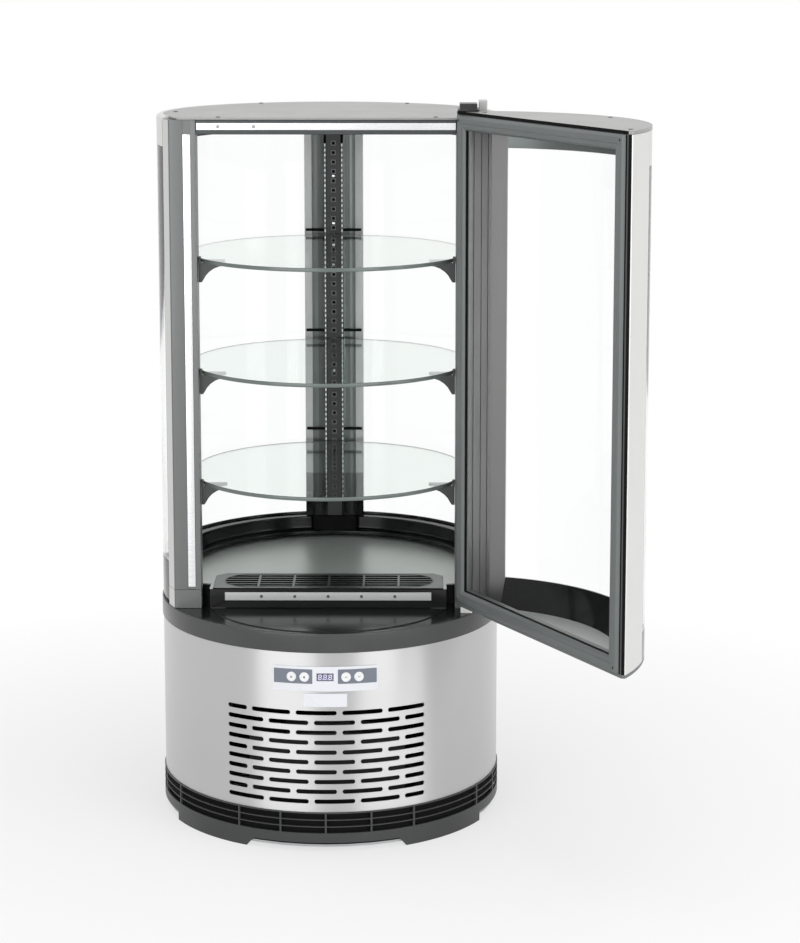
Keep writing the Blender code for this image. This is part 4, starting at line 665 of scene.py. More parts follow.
frontHoles = ventSlots(skin, skin["field"], skin["rows"], skinHigh - skin["topDrop"])
frontHoles.append(centredRect(0, controlZ, controls["cutLength"], controls["cutHeight"]))
piece("skinFront", makeSkin(skin["seamDeg"], frontHoles, 0.0), skinSteel, replaces="base_shell_front",
      slot="brushed_steel", sharp=20)
gland = {"z": 0.0750, "neck": 0.0080}
rearHoles = ventSlots(skin, skin["rearField"], skin["rearRows"], skinHigh - skin["rearTopDrop"])
rearHoles.append(ringPoints(gland["neck"] + plan["gap"], 32, (0.0, gland["z"])))
piece("skinRear", makeSkin(180 - skin["seamDeg"], rearHoles, 180.0), skinSteel, replaces="base_shell_rear",
      slot="brushed_steel", sharp=20)
seamScrew = {"radius": 0.0032, "height": 0.0012, "asideDeg": 3.0, "levels": (0.075, 0.155, 0.238)}
seamSpots = [(*around(plan["radius"], side * (skin["seamDeg"] + seamScrew["asideDeg"])), z)
             for side in (-1, 1) for z in seamScrew["levels"]]
screws("skinScrews", brightSteel, seamSpots, seamScrew["radius"], seamScrew["height"])

# an edges entry lists the cut at each corner of the section, in the section's order
collar = {
    "radius": 0.2250, "wall": 0.0025, "ledge": 0.0075, "ledgeLow": 0.2752, "ledgeHigh": 0.2782,
    "edges": (0.0006, 0.0012, 0.0006, 0, 0.0005, 0.0005, 0, 0.0004),
}
collarLow, collarHigh = heights("collar_ring")
inner = collar["radius"] - collar["wall"]
tip = inner - collar["ledge"]
collarSection = [(collar["radius"], collarLow), (collar["radius"], collarHigh), (inner, collarHigh),
                 (inner, collar["ledgeHigh"]), (tip, collar["ledgeHigh"]), (tip, collar["ledgeLow"]),
                 (inner, collar["ledgeLow"]), (inner, collarLow)]
piece("collarRing", revolve(softened(collarSection, collar["edges"])), collarPlastic,
      replaces="collar_ring", slot="dark_plastic")
print("base built")


# Controls

printing = {"near": 0.0161, "far": 0.0660, "low": 0.2212, "high": 0.2401, "corner": 0.0006, "wall": 0.0003,
            "lift": 0.00005}
badge = {"half": 0.0276, "low": 0.1909, "high": 0.2082, "corner": 0.0012, "wall": 0.0008}
button = {
    "radius": 0.00625, "proud": 0.0026, "depth": 0.0075, "lip": 0.0011,
    "dish": ((0.62, -0.0001), (0.35, -0.00035), (0, -0.0004)),  # shares of the radius and heights
    "markWall": 0.0003, "markLift": 0.00005, "markInset": 0.0002,
}
panelRadius = plan["radius"] + plan["gap"] + controls["panelWall"]
panelHoles = [ringPoints(button["radius"] + plan["gap"], 40, (math.radians(a) * panelRadius, controlZ))
              for a in controls["buttonDegs"]]
panelHoles.append(centredRect(0, controlZ, controls["displayLength"] + 2 * plan["gap"],
                              controls["displayHeight"] + 2 * plan["gap"]))
panelOutline = centredRect(0, skinHigh - controls["panelDrop"], controls["panelLength"],
                           controls["panelHeight"], controls["panelCorner"])
panelFilm = plate(panelOutline, panelHoles, controls["panelWall"], controls["grid"], rolled(panelRadius))
piece("controlFilm", panelFilm, labelWhite, replaces="control_panel", slot="panel_film", sharp=25)
blocks = []
for side in (-1, 1):
    ends = sorted((side * printing["near"], side * printing["far"]))
    outline = roundedRect(*ends, printing["low"], printing["high"], printing["corner"], 3)
    holes = [h for h, a in zip(panelHoles, controls["buttonDegs"]) if a * side > 0]
    blocks.append(plate(outline, holes, printing["wall"], controls["grid"],
                        rolled(panelRadius + printing["lift"])))
piece("controlPrint", joined(*blocks), printBlue, slot="panel_film", sharp=25)
badgeOutline = roundedRect(-badge["half"], badge["half"], badge["low"], badge["high"], badge["corner"])
piece("badgePlate", plate(badgeOutline, [], badge["wall"], controls["grid"],
                          rolled(plan["radius"] + badge["wall"])), labelWhite, slot="panel_film", sharp=25)
window = centredRect(0, controlZ, controls["displayLength"], controls["displayHeight"],
                     controls["displayCorner"])
piece("displayPane", plate(window, [], controls["panelWall"], controls["displayGrid"], rolled(panelRadius)),
      displayDark, replaces="display_window", slot="display_window", sharp=25)

figure = {"width": 0.0044, "height": 0.0068, "stroke": 0.0009, "slant": 0.10, "pitch": 0.0065,
          "wall": 0.0002, "lift": 0.00012, "dot": 0.00045, "dotAside": 0.0031, "dotDrop": 0.0030}


def sevenSegment(f):
    # the seven bars of a lit figure, as flat outlines around the origin, slanted by their height
    w, h, s = f["width"] / 2, f["height"] / 2, f["stroke"]
    across = [(-w + s, w - s, z - s / 2, z + s / 2) for z in (-h + s / 2, 0.0, h - s / 2)]
    upright = [(x - s / 2, x + s / 2, z, z + h - 1.4 * s) for x in (-w + s / 2, w - s / 2)
               for z in (-h + s * 0.9, s * 0.6)]
    bars = [rectPoints(*b) for b in across + upright]
    return [b + np.column_stack([b[:, 1] * f["slant"], np.zeros(4)]) for b in bars]


flats = []
for u in (-figure["pitch"], 0.0, figure["pitch"]):
    flats += [bar + (u, controlZ) for bar in sevenSegment(figure)]
    flats.append(ringPoints(figure["dot"], 10, (u + figure["dotAside"], controlZ - figure["dotDrop"])))
figures = [plate(flat, [], figure["wall"], None, rolled(panelRadius + figure["lift"])) for flat in flats]
piece("displayFigures", joined(*figures), digitLight, slot="display_window", sharp=25)


def buttonCap(b):
    # cap with a rounded rim and a slightly hollow face
    a = np.radians(np.linspace(0, 90, 6))
    rim = np.column_stack([b["radius"] - b["lip"] + b["lip"] * np.cos(a), -b["lip"] + b["lip"] * np.sin(a)])
    dish = [(b["radius"] * share, z) for share, z in b["dish"]]
    return turned(np.concatenate([[(0, -b["depth"])], [(b["radius"], -b["depth"])], rim, dish]), 40)


def markOutlines():
    # small generic marks for the four caps: a triangle, a lamp, an arrow up and an arrow down
    triangle = np.array([(-0.0016, -0.0012), (0.0016, -0.0012), (0.0, 0.0016)])
    lamp = [ringPoints(0.0012, 16), rectPoints(-0.0006, 0.0006, -0.0022, -0.0014)]
    arrow = np.array([(-0.0017, -0.0007), (0.0, 0.0011), (0.0017, -0.0007), (0.0017, -0.0014),
                      (0.0, 0.0004), (-0.0017, -0.0014)])
    return [triangle], lamp, [arrow], [arrow[::-1] * (1, -1)]


for number, (degrees, outlines) in enumerate(zip(controls["buttonDegs"], markOutlines()), start=1):
    body = f"button_body_{number}"
    spot = around(plan["radius"] + button["proud"], degrees)
    inset = around(plan["radius"] + button["proud"] - button["markInset"], degrees)
    mark = joined(*[plate(o, [], button["markWall"], None, lying(button["markLift"])) for o in outlines])
    piece(f"buttonCap_{number}", turnedTo(buttonCap(button), (*spot, controlZ), (*spot, 0.0)), buttonWhite,
          body, f"button_{number}", "button_white")
    piece(f"buttonMark_{number}", turnedTo(mark, (*inset, controlZ), (*spot, 0.0)), printBlue, body,
          slot="panel_film")
print("controls built")


# Cabin floor, tub, deck and grille

tub = {"halfFront": 0.1545, "setback": 0.0005, "radius": 0.2012, "postDepth": 0.0225, "edge": 0.0009,
       "overlap": 0.001, "deckEdge": 0.0005}
airHole = {"length": 0.2400, "depth": 0.0440, "centre": 0.0608}
floorLow, tubTop = heights("cabin_floor")
floorTop = collarHigh
deckLow, deckTop = heights("deck_plate")
tubFront = -plan["front"] + tub["setback"]
airOutline = centredRect(0, -airHole["centre"], airHole["length"], airHole["depth"])


def tubOutline(radius):
    # straight front and sides as far as the posts, then the round rear
    shoulder = -(plan["front"] - tub["postDepth"] - 2 * plan["gap"])
    right = np.array([(tub["halfFront"], tubFront), (tub["halfFront"], shoulder)])
    return np.concatenate([right, arcPoints(radius, *ringEnds), right[::-1] * (-1, 1)])


floorDisc = plate(ringPoints(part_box("cabin_floor")[1].x, ringCount), [airOutline], floorTop - floorLow,
                  None, lying(floorTop))
tubBlock = plate(tubOutline(tub["radius"]), [airOutline], tubTop - floorTop + tub["overlap"], None,
                 lying(tubTop))
piece("floorMoulding", joined(floorDisc, tubBlock), floorBlack, replaces="cabin_floor", slot="black_gloss",
      bevel=tub["edge"], segments=3)

# raised lip that runs in a bow across the front of the floor, and a fillet strip at the tub's foot
bow = {"radius": 0.1600, "centreY": -0.0555, "sideDeg": 71.0, "half": 0.0011, "height": 0.0013,
       "sunk": 0.0001}


def makeBow(b):
    # a half round carried along an arc of the floor
    angles = np.linspace(-b["sideDeg"], b["sideDeg"], 90)
    spine = around(b["radius"], angles) + (0, b["centreY"])
    outward = around(1.0, angles)
    turn = np.radians(np.linspace(0, 180, 9))
    rings = np.empty((len(angles), len(turn), 3))
    rings[:, :, :2] = spine[:, None] + outward[:, None] * (b["half"] * np.cos(turn))[None, :, None]
    rings[:, :, 2] = floorTop + b["height"] * np.sin(turn)[None] - b["sunk"]
    return sweep(rings)


piece("floorLip", makeBow(bow), glossBlack, slot="black_gloss")
foot = {"half": 0.1540, "depth": 0.0022, "height": 0.0016, "sunk": 0.0002, "edge": 0.0003}
footSection = [(tubFront - foot["depth"], floorTop), (tubFront + foot["sunk"], floorTop),
               (tubFront + foot["sunk"], floorTop + foot["height"])]
piece("tubFoot", extrude(footSection, -foot["half"], foot["half"], "X"), glossBlack, slot="black_gloss",
      bevel=foot["edge"])

grille = {
    "length": 0.2720, "depth": 0.0620, "rows": 5, "columns": 6, "pitch": 0.0115, "slot": 0.0082,
    "bar": 0.0030, "front": 0.0995, "rear": 0.0220, "half": 0.1500, "chamfer": 0.0130, "centre": 0.0608,
    "rimOut": 0.0016, "rimIn": 0.0006, "rimRise": 0.0005, "rimSunk": 0.0002, "edge": 0.0002,
}


def grillePlan(grow=0.0):
    # a rectangle with its rear corners cut off, widened at the sides and the rear
    g = grille
    right = np.array([(g["half"] + grow, -g["front"]), (g["half"] + grow, -g["chamfer"] - g["rear"] + grow),
                      (g["half"] - g["chamfer"] + grow, -g["rear"] + grow)])
    return np.concatenate([right, right[::-1] * (-1, 1)])


def stadium(grow):
    # the field of slots with its round ends, widened all round
    radius, half = grille["depth"] / 2 + grow, grille["length"] / 2 + grow
    return roundedRect(-half, half, -grille["centre"] - radius, -grille["centre"] + radius, radius, 14)


def grilleSlots():
    # rows and columns of slots, whose outer ends follow the round end of the field
    g = grille
    cell = (g["length"] + g["bar"]) / g["columns"]
    radius = g["depth"] / 2
    slots = []
    for row in range(g["rows"]):
        y = (row - (g["rows"] - 1) / 2) * g["pitch"]
        ys = np.linspace(y - g["slot"] / 2, y + g["slot"] / 2, 6)
        limit = g["length"] / 2 - radius + np.sqrt(np.maximum(radius ** 2 - ys ** 2, 0))
        for column in range(g["columns"]):
            x0 = -g["length"] / 2 + column * cell
            left = np.column_stack([np.maximum(x0, -limit), ys - g["centre"]])
            right = np.column_stack([np.minimum(x0 + cell - g["bar"], limit), ys - g["centre"]])
            slots.append(np.concatenate([left[::-1], right]))
    return slots


# the deck is the tub's outline with a notch for the grille in its front
cut = grillePlan(plan["gap"])
notch = [(-cut[0, 0], tubFront), (-cut[0, 0], cut[1, 1]), (-cut[2, 0], cut[2, 1]), (cut[2, 0], cut[2, 1]),
         (cut[0, 0], cut[1, 1]), (cut[0, 0], tubFront)]
deckOutline = np.concatenate([tubOutline(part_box("deck_plate")[1].y), notch])
deckWall = deckTop - deckLow
piece("deckSheet", plate(deckOutline, [], deckWall, None, lying(deckTop)), deckSteel, replaces="deck_plate",
      slot="brushed_steel", bevel=tub["deckEdge"])
# the sheet's walls, in its slots and at its edges, and its underside are painted black as shade
piece("grilleSheet", plate(grillePlan(), grilleSlots(), deckWall, None, lying(deckTop)), grilleSteel,
      replaces="air_grille", slot="brushed_steel", bevel=grille["edge"], extra=(blackAndShade,),
      choose=lambda c, n: n[:, 2] < 0.5)
piece("grilleRim", plate(stadium(grille["rimOut"]), [stadium(grille["rimIn"])],
                         grille["rimRise"] + grille["rimSunk"], None, lying(deckTop + grille["rimRise"])),
      darkCoat, slot="brushed_steel")
print("deck built")


# Channel, crown, lid and side panes

channel = {
    "inner": 0.2015, "step": 0.0030, "ledgeRadius": 0.1860, "ledgeTop": 0.0320, "ledgeWall": 0.0060,
    "edges": (0.0008, 0.0004, 0.0004, 0.0008, 0.0016, 0.003, 0.0016, 0.0016, 0.0006, 0.0006),
}
channelLow, channelTop = heights("bottom_channel")
glassInner = plan["radius"] - plan["glassWall"]
glassSeat, stepTop = glassInner - plan["gap"], channelTop - channel["step"]
ledge = channelLow + channel["ledgeTop"]
ledgeFoot = ledge - channel["ledgeWall"]
channelSection = [(plan["radius"], channelLow), (plan["radius"], channelTop), (glassSeat, channelTop),
                  (glassSeat, stepTop), (channel["inner"], stepTop), (channel["inner"], ledge),
                  (channel["ledgeRadius"], ledge), (channel["ledgeRadius"], ledgeFoot),
                  (channel["inner"], ledgeFoot), (channel["inner"], channelLow)]
piece("glassChannel", revolve(softened(channelSection, channel["edges"]), *ringEnds), glossBlack,
      replaces="bottom_channel", slot="black_gloss")

crown = {"proud": 0.0003, "bevel": 0.0030, "lidRadius": 0.2143,
         "edges": (0.0004, 0.0014, 0.0014, 0.0003, 0, 0.0004, 0.0004)}
crownLow, crownTop = heights("crown_ring")
lidLow, lidTop = heights("lid")
outer = plan["radius"] + crown["proud"]
lidSeat, seatTop = crown["lidRadius"] + plan["gap"], lidLow - plan["gap"]
crownSection = [(outer, crownLow), (outer, crownTop - crown["bevel"]), (outer - crown["bevel"], crownTop),
                (lidSeat, crownTop), (lidSeat, seatTop), (channel["inner"], seatTop),
                (channel["inner"], crownLow)]


def isCrownInside(centres, normals):
    # faces of the ring's inner wall that look towards the axis
    inside = np.hypot(centres[:, 0], centres[:, 1]) < channel["inner"] + 0.001
    return inside & (centres[:, 0] * normals[:, 0] + centres[:, 1] * normals[:, 1] < 0)


piece("crownBand", revolve(softened(crownSection, crown["edges"]), *ringEnds), silverCoat,
      replaces="crown_ring", slot="silver_paint", extra=(darkCoat,), choose=isCrownInside)

# the lid's screws are places on the plan: degrees from the front and distance from the axis
lid = {"overhang": 0.0010, "edge": 0.0005, "screwRadius": 0.0030, "screwHeight": 0.0012, "sunk": 0.0001,
       "screws": ((-92.1, 0.2004), (-55.8, 0.1657), (-151.3, 0.2054), (149.9, 0.2036), (56.3, 0.1671))}
lidFront = plan["front"] + lid["overhang"]
lidStart = math.degrees(math.atan2(math.sqrt(crown["lidRadius"] ** 2 - lidFront ** 2), lidFront))
piece("lidPlate", extrude(arcPoints(crown["lidRadius"], lidStart, 360 - lidStart), lidLow, lidTop), lidCoat,
      replaces="lid", slot="silver_paint", bevel=lid["edge"])
screws("lidScrews", darkPlastic, [(*around(r, a), lidTop - lid["sunk"]) for a, r in lid["screws"]],
       lid["screwRadius"], lid["screwHeight"], (0, 0, 1))


def paneSection(low, high):
    # the (radius, height) section of a curved pane, with its corners cut
    return softened(wallSection(plan["radius"], plan["glassWall"], low, high), plan["glassEdge"], 2)


def isPaneEdge(centres, normals):
    # top, bottom and upright edges of a curved pane, which face away from the radius
    radial = np.abs(normals[:, 0] * centres[:, 0] + normals[:, 1] * centres[:, 1])
    return radial / np.hypot(centres[:, 0], centres[:, 1]) < 0.6


glassLow, glassTop = heights("glass_left")
columnEdgeDeg = 180 - math.degrees(math.asin((plan["columnHalf"] + plan["gap"]) / glassInner))
for word, ends in (("right", (ringEnds[0], columnEdgeDeg)), ("left", (360 - columnEdgeDeg, ringEnds[1]))):
    piece(f"sidePane_{word}", revolve(paneSection(glassLow, glassTop), *ends), clearGlass,
          replaces=f"glass_{word}", slot="clear_glass", extra=(glassRim,), choose=isPaneEdge)
print("cabin shell built")


# Posts, header and strike strips

post = {
    "inner": 0.1650, "cornerCut": 0.0014, "cornerDeg": 0.35, "depth": 0.0225, "endDeg": 69.5,
    "joint": 0.0004, "jointZ": 0.3110, "edge": 0.0002, "innerEdge": 0.0012, "cornerEdge": 0.0006,
    "grooveEdges": (0.0003, 0, 0, 0.0003),
}
strike = {"width": 0.0096, "recess": 0.0010, "x": 0.1772, "edge": 0.0002, "screwHeight": 0.0006,
          "screwSunk": 0.0002, "edges": (0.0005, 0.0005, 0.0001, 0.0001)}
frontY = -plan["front"]
cornerX = math.sqrt(plan["radius"] ** 2 - plan["front"] ** 2)
postStartDeg = math.degrees(math.atan2(cornerX, plan["front"])) + post["cornerDeg"]
grooveLow, grooveHigh = (strike["x"] + s * (strike["width"] / 2 + plan["gap"]) for s in (-1, 1))
postGroove = [(grooveLow, frontY), (grooveLow, frontY + strike["recess"]),
              (grooveHigh, frontY + strike["recess"]), (grooveHigh, frontY)]


def postOutline(groove=(), cuts=()):
    # flat face with the strip's groove, cut corner, round outside and slanting rear; the first two points
    # of the face's softened start fall away
    corner = [(cornerX - post["cornerCut"], frontY), tuple(around(plan["radius"], postStartDeg))]
    face = softened([(post["inner"], frontY), *groove, *corner],
                    [post["innerEdge"], *cuts, post["cornerEdge"], 0])[2:]
    return np.concatenate([face, arcPoints(plan["radius"], postStartDeg, post["endDeg"])[1:],
                           [tuple(around(channel["inner"], post["endDeg"])),
                            (post["inner"], frontY + post["depth"])]])


def isRoundSide(centres, normals):
    # the outside of a post between its corner and the pane
    radius = np.hypot(centres[:, 0], centres[:, 1])
    outward = (centres[:, 0] * normals[:, 0] + centres[:, 1] * normals[:, 1]) / radius
    return (radius > plan["radius"] - 0.0004) & (outward > 0.9) & (np.abs(centres[:, 0]) > cornerX)


postLow, postHigh = heights("post_left")
for side, word in ((-1, "left"), (1, "right")):
    lower = extrude(postOutline() * (side, 1), postLow, post["jointZ"] - post["joint"])
    upper = extrude(postOutline(postGroove, post["grooveEdges"]) * (side, 1), post["jointZ"], postHigh)
    piece(f"frontPost_{word}", joined(lower, upper), postCoat, replaces=f"post_{word}", slot="grey_profile",
          bevel=post["edge"], sharp=25, extra=(wrapCoat,), choose=isRoundSide)
    low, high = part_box(f"strike_{word}")
    section = softened(rectPoints(low.x, high.x, low.y, high.y), strike["edges"])
    piece(f"strikeStrip_{word}", extrude(section, low.z, high.z), brightSteel, replaces=f"strike_{word}",
          slot="strike_steel", bevel=strike["edge"])

headEdges = (0.0010, 0.0002, 0, 0, 0.0002, 0.0006, 0.0006, 0.0010)
low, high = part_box("header_beam")
stripLow, stripTop = heights("strike_top")
slotY, slotLow, slotTop = low.y + strike["recess"], stripLow - plan["gap"], stripTop + plan["gap"]
headSection = [(low.y, low.z), (low.y, slotLow), (slotY, slotLow), (slotY, slotTop), (low.y, slotTop),
               (low.y, high.z), (high.y, high.z), (high.y, low.z)]
piece("headerBeam", extrude(softened(headSection, headEdges), low.x, high.x, "X"), darkCoat,
      replaces="header_beam", slot="grey_profile")


def stripWithScrews(node, name, material, spots, radius, screwFinish):
    # flat strip facing the front, with the heads of its countersunk screws
    lo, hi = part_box(node)
    section = softened([(lo.y, lo.z), (lo.y, hi.z), (hi.y, hi.z), (hi.y, lo.z)], strike["edges"])
    piece(name, extrude(section, lo.x, hi.x, "X"), material, replaces=node, slot="strike_steel",
          bevel=strike["edge"])
    middle = (lo.z + hi.z) / 2
    screws(name + "Screws", screwFinish, [(x, lo.y + strike["screwSunk"], middle) for x in spots], radius,
           strike["screwHeight"], (0, -1, 0), 16)


stripWithScrews("strike_top", "strikeStrip_top", brightSteel, (-0.1372, -0.0918), 0.0022, screwGrey)
stripWithScrews("strike_bottom", "strikeStrip_bottom", dullStrip, np.arange(-2, 3) * 0.0435, 0.0021,
                darkPlastic)
print("front frame built")


# Rear column with lights and shelf rail

column = {
    "half": plan["columnHalf"], "flangeInner": 0.0301, "flangeY": 0.1925, "faceY": 0.1885, "bulge": 0.0022,
    "shoulder": (0.0010, 0.0030), "grooveHalf": 0.0134, "grooveSlant": 0.0006, "grooveY": 0.1905,
    "backY": 0.1906, "coverTop": 0.4010, "seam": 0.0004, "backStepDeg": 1.0,
    "flangeFrom": 0.0295, "channelHalf": 0.0136, "channelY": 0.1935, "slopeHalf": 0.0220,
}


def columnOutline(c):
    # flanges at the glass, a bulged cove on each side and a channel for the rail in the middle
    t = np.linspace(0, 1, 9)
    x = c["flangeInner"] + (c["grooveHalf"] - c["flangeInner"]) * t
    y = c["faceY"] + c["bulge"] * np.sin(np.pi * t)
    right = np.concatenate([[(c["half"], c["flangeY"]),
                             (c["flangeInner"] + c["shoulder"][0], c["flangeY"] - c["shoulder"][1])],
                            np.column_stack([x, y]), [(c["grooveHalf"] - c["grooveSlant"], c["grooveY"])]])
    edge = math.degrees(math.asin(c["half"] / plan["radius"]))
    back = arcPoints(plan["radius"], 180 - edge, 180 + edge, c["backStepDeg"])
    return np.concatenate([right[::-1], back, right * (-1, 1)])


def columnFinish(centres, normals):
    # 5 lowest stretch, 4 channel painted black as shade, 1 left cove's inner slope painted in shade, 2
    # light flanges, 3 grey coves
    across, front = np.abs(centres[:, 0]), normals[:, 1] < -0.3
    channelFace = (across < column["channelHalf"]) & (centres[:, 1] < column["channelY"])
    # painted shade: only the left cove's inner slope is darkened, though both coves are alike
    leftSlopeShade = (centres[:, 0] < 0) & (across < column["slopeHalf"]) & front
    flange = (across > column["flangeFrom"]) & front
    return np.select([centres[:, 2] < column["coverTop"], channelFace, leftSlopeShade, flange], [5, 4, 1, 2], 3)


columnLow, columnHigh = heights("rear_column")
piece("rearColumn", joined(extrude(columnOutline(column), columnLow, column["coverTop"] - column["seam"]),
                           extrude(columnOutline(column), column["coverTop"], columnHigh)),
      postCoat, replaces="rear_column", slot="grey_profile", sharp=25, choose=columnFinish,
      extra=(darkCoat, flangeCoat, coveCoat, blackAndShade, glossBlack))

# the square holes of the rail stop where the column's dark lowest stretch begins
rail = {"wall": 0.0020, "hole": 0.0036, "holeCorner": 0.0005, "pitch": 0.01305, "end": 0.0150,
        "frame": 0.0066, "frameCorner": 0.0010, "line": 0.0009, "lineCorner": 0.0007, "proud": 0.00025,
        "screwLevels": (0.8250, 0.7590, 0.6970, 0.5480, 0.4300), "screwRadius": 0.0021,
        "screwHeight": 0.0010, "screwSunk": 0.0001}
railLow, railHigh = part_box("shelf_rail")
holeCount = int((railHigh.z - railLow.z - 2 * rail["end"]) / rail["pitch"]) + 1
holeZ = railHigh.z - rail["end"] - np.arange(holeCount) * rail["pitch"]
holeZ = holeZ[holeZ > column["coverTop"]]
railHoles = [centredRect(0, z, rail["hole"], rail["hole"], rail["holeCorner"], 2) for z in holeZ]
railOutline = rectPoints(railLow.x, railHigh.x, railLow.z, railHigh.z)
piece("slottedRail", plate(railOutline, railHoles, rail["wall"], None, frontFacing(railLow.y)), blackSteel,
      replaces="shelf_rail", slot="black_steel")
within = rail["frame"] - 2 * rail["line"]
pressing = plate(centredRect(0, 0, rail["frame"], rail["frame"], rail["frameCorner"], 3),
                 [centredRect(0, 0, within, within, rail["lineCorner"], 3)], rail["proud"], None,
                 frontFacing(railLow.y - rail["proud"]))
piece("railPressings", copies(pressing, [(0, 0, z) for z in holeZ]), coveCoat, slot="black_steel")

lights = {"x": 0.0117, "width": 0.0022, "dot": 0.0008, "dotTall": 0.0017, "pitch": 0.0070, "low": 0.4016,
          "high": 0.8700, "y": 0.1862, "proud": 0.0006, "firstDot": 0.004}
strips, dots = [], []
dotZ = np.arange(lights["low"] + lights["firstDot"], lights["high"], lights["pitch"])
for x in (-lights["x"], lights["x"]):
    strips.append(boxShell(x - lights["width"] / 2, x + lights["width"] / 2, lights["y"], column["backY"],
                           lights["low"], lights["high"]))
    lamp = boxShell(x - lights["dot"], x + lights["dot"], lights["y"] - lights["proud"], lights["y"],
                    -lights["dotTall"], lights["dotTall"])
    dots.append(copies(lamp, [(0, 0, z) for z in dotZ]))
piece("lightStrips", joined(*strips), revealCoat, slot="panel_film")
piece("lightDots", joined(*dots), ledLight, slot="button_white")
screws("railScrews", brightSteel, [(0, railLow.y + rail["screwSunk"], z) for z in rail["screwLevels"]],
       rail["screwRadius"], rail["screwHeight"], (0, -1, 0), 16)
columnFoot = {"half": 0.0300, "y": (0.1862, 0.2010), "z": (0.3232, 0.3431), "edge": 0.0006}
piece("columnFoot", boxShell(-columnFoot["half"], columnFoot["half"], *columnFoot["y"], *columnFoot["z"]),
      blackAndShade, slot="black_gloss", bevel=columnFoot["edge"])
print("column built")


# Shelves and their supports

shelf = {
    "radius": 0.1820, "edge": 0.0009, "flat": 0.0006, "rings": (0.14, 0.09, 0.04), "bracketEdge": 0.0007,
    "stopX": (0.1615, 0.1648), "stopY": (-0.0900, -0.0848), "stopDrop": 0.0070, "stopRise": 0.0030,
    "stopEdge": 0.0004, "barRise": (0.0058, 0.0109, 0.0170), "bar": 0.0016, "barHalf": 0.0385,
    "barY": 0.1858,
}


def mirroredBoxes(x0, x1, *rest):
    # the same box on the left and on the right
    return joined(boxShell(-x1, -x0, *rest), boxShell(x0, x1, *rest))


def shelfDisc(low, high):
    # a disc with a round edge; a narrow flat ring inside the edge keeps the shading of both apart
    s, turn = shelf, np.radians(np.linspace(0, 90, 5))
    across, up = s["radius"] - s["edge"] + s["edge"] * np.cos(turn), s["edge"] * np.sin(turn)
    upper = np.column_stack([across, high - s["edge"] + up])
    lower = np.column_stack([across, low + s["edge"] - up])[::-1]
    flatRings = (s["radius"] - s["edge"] - s["flat"], *s["rings"])
    return turned(np.concatenate([[(0, low)], [(r, low) for r in flatRings[::-1]], lower, upper,
                                  [(r, high) for r in flatRings], [(0, high)]]), ringCount)


for number, barRise in enumerate(shelf["barRise"], start=1):
    low, high = heights(f"shelf_{number}")
    piece(f"glassShelf_{number}", shelfDisc(low, high), shelfGlass, replaces=f"shelf_{number}",
          slot="clear_glass", extra=(shelfRim,), choose=lambda c, n: np.abs(n[:, 2]) < 0.9)
    for word in ("left", "right", "rear"):
        bevelledCopy(f"support_{number}_{word}", f"shelfBracket_{number}_{word}", darkPlastic,
                     slot="dark_plastic", bevel=shelf["bracketEdge"])
    # small stops on the posts, at the ends of the side brackets, and bars beside the rail
    stops = mirroredBoxes(*shelf["stopX"], *shelf["stopY"], high - shelf["stopDrop"],
                          high + shelf["stopRise"])
    piece(f"shelfStop_{number}", stops, darkPlastic, slot="dark_plastic", bevel=shelf["stopEdge"])
    bars = mirroredBoxes(column["grooveHalf"], shelf["barHalf"], shelf["barY"], column["backY"],
                         high + barRise - shelf["bar"], high + barRise + shelf["bar"])
    piece(f"columnClip_{number}", bars, blackAndShade, slot="black_steel")
print("shelves built")


# Door, drawn shut and then opened about its hinge

door = {
    "bottom": 0.2945, "top": 0.9350, "plate": 0.0040, "rebate": 0.1066, "cornerRadius": 0.0151,
    "profileDeg": 44.0, "revealDeg": 49.3, "band": 0.0385, "bandFoot": 0.1920, "topBand": 0.0460,
    "bandSunk": 0.0002, "bandEdges": (0.0001, 0.0006, 0.0006, 0.0001), "plateEdge": 0.0005,
    "frameOuter": 0.1880, "frameInner": 0.1675, "frameBar": 0.0190, "frameWall": 0.0080,
    "frameFace": 0.1098, "frameEdges": (0.0006, 0.0006, 0.0010, 0.0014),
    "groove": 0.0010, "grooveDeep": 0.0012, "grooveSpots": (0.1285, 0.1380),
    "pin": 0.0035, "pinPlay": 0.0003, "darkCorner": 0.0030,
}
seal = {
    "outer": 0.1870, "width": 0.0192, "face": 0.1020, "chamfer": 0.0038, "groove": (0.60, 0.57, 0.54),
    "grooveDeep": 0.0007, "edges": (0.0012, 0.0004, 0.0004, 0.0012, 0.0018, 0.0002, 0.0004, 0.0002, 0.0018),
    "pinRadius": 0.0011, "pinShare": 0.35, "pinWall": 0.0004, "pinLift": 0.0001,
}
capScrew = {"radius": 0.0030, "height": 0.0009, "sunk": 0.0001,
            "spots": ((-0.172, -0.1225), (0.150, -0.1225), (0.0, -0.2100))}
gap = plan["gap"]
bandEnd = door["profileDeg"] - 2 * math.degrees(gap / plan["radius"])
reach = math.hypot(hinge["x"], hinge["y"])
# the case circle meets the rounded hinge corner where the triangle axis, hinge, corner closes
doorCornerDeg = math.degrees(math.atan2(hinge["x"], -hinge["y"])) + math.degrees(math.acos(
    (plan["radius"] ** 2 + reach ** 2 - door["cornerRadius"] ** 2) / (2 * plan["radius"] * reach)))
rise = -door["rebate"] - hinge["y"]
cornerEdge = hinge["x"] + math.sqrt(door["cornerRadius"] ** 2 - rise ** 2)
onCase = around(plan["radius"], doorCornerDeg)
turnAngles = np.linspace(math.atan2(onCase[1] - hinge["y"], onCase[0] - hinge["x"]),
                         math.atan2(rise, cornerEdge - hinge["x"]), 13)
cornerArc = np.column_stack([hinge["x"] + door["cornerRadius"] * np.cos(turnAngles),
                             hinge["y"] + door["cornerRadius"] * np.sin(turnAngles)])
lowZ, topZ = door["bottom"] + door["plate"], door["top"] - door["plate"]
frameLow, frameTop = lowZ + gap, topZ - gap
frameFront = door["frameFace"] + door["frameWall"]
pinHole = ringPoints(door["pin"] + door["pinPlay"], 24, (hinge["x"], hinge["y"]))


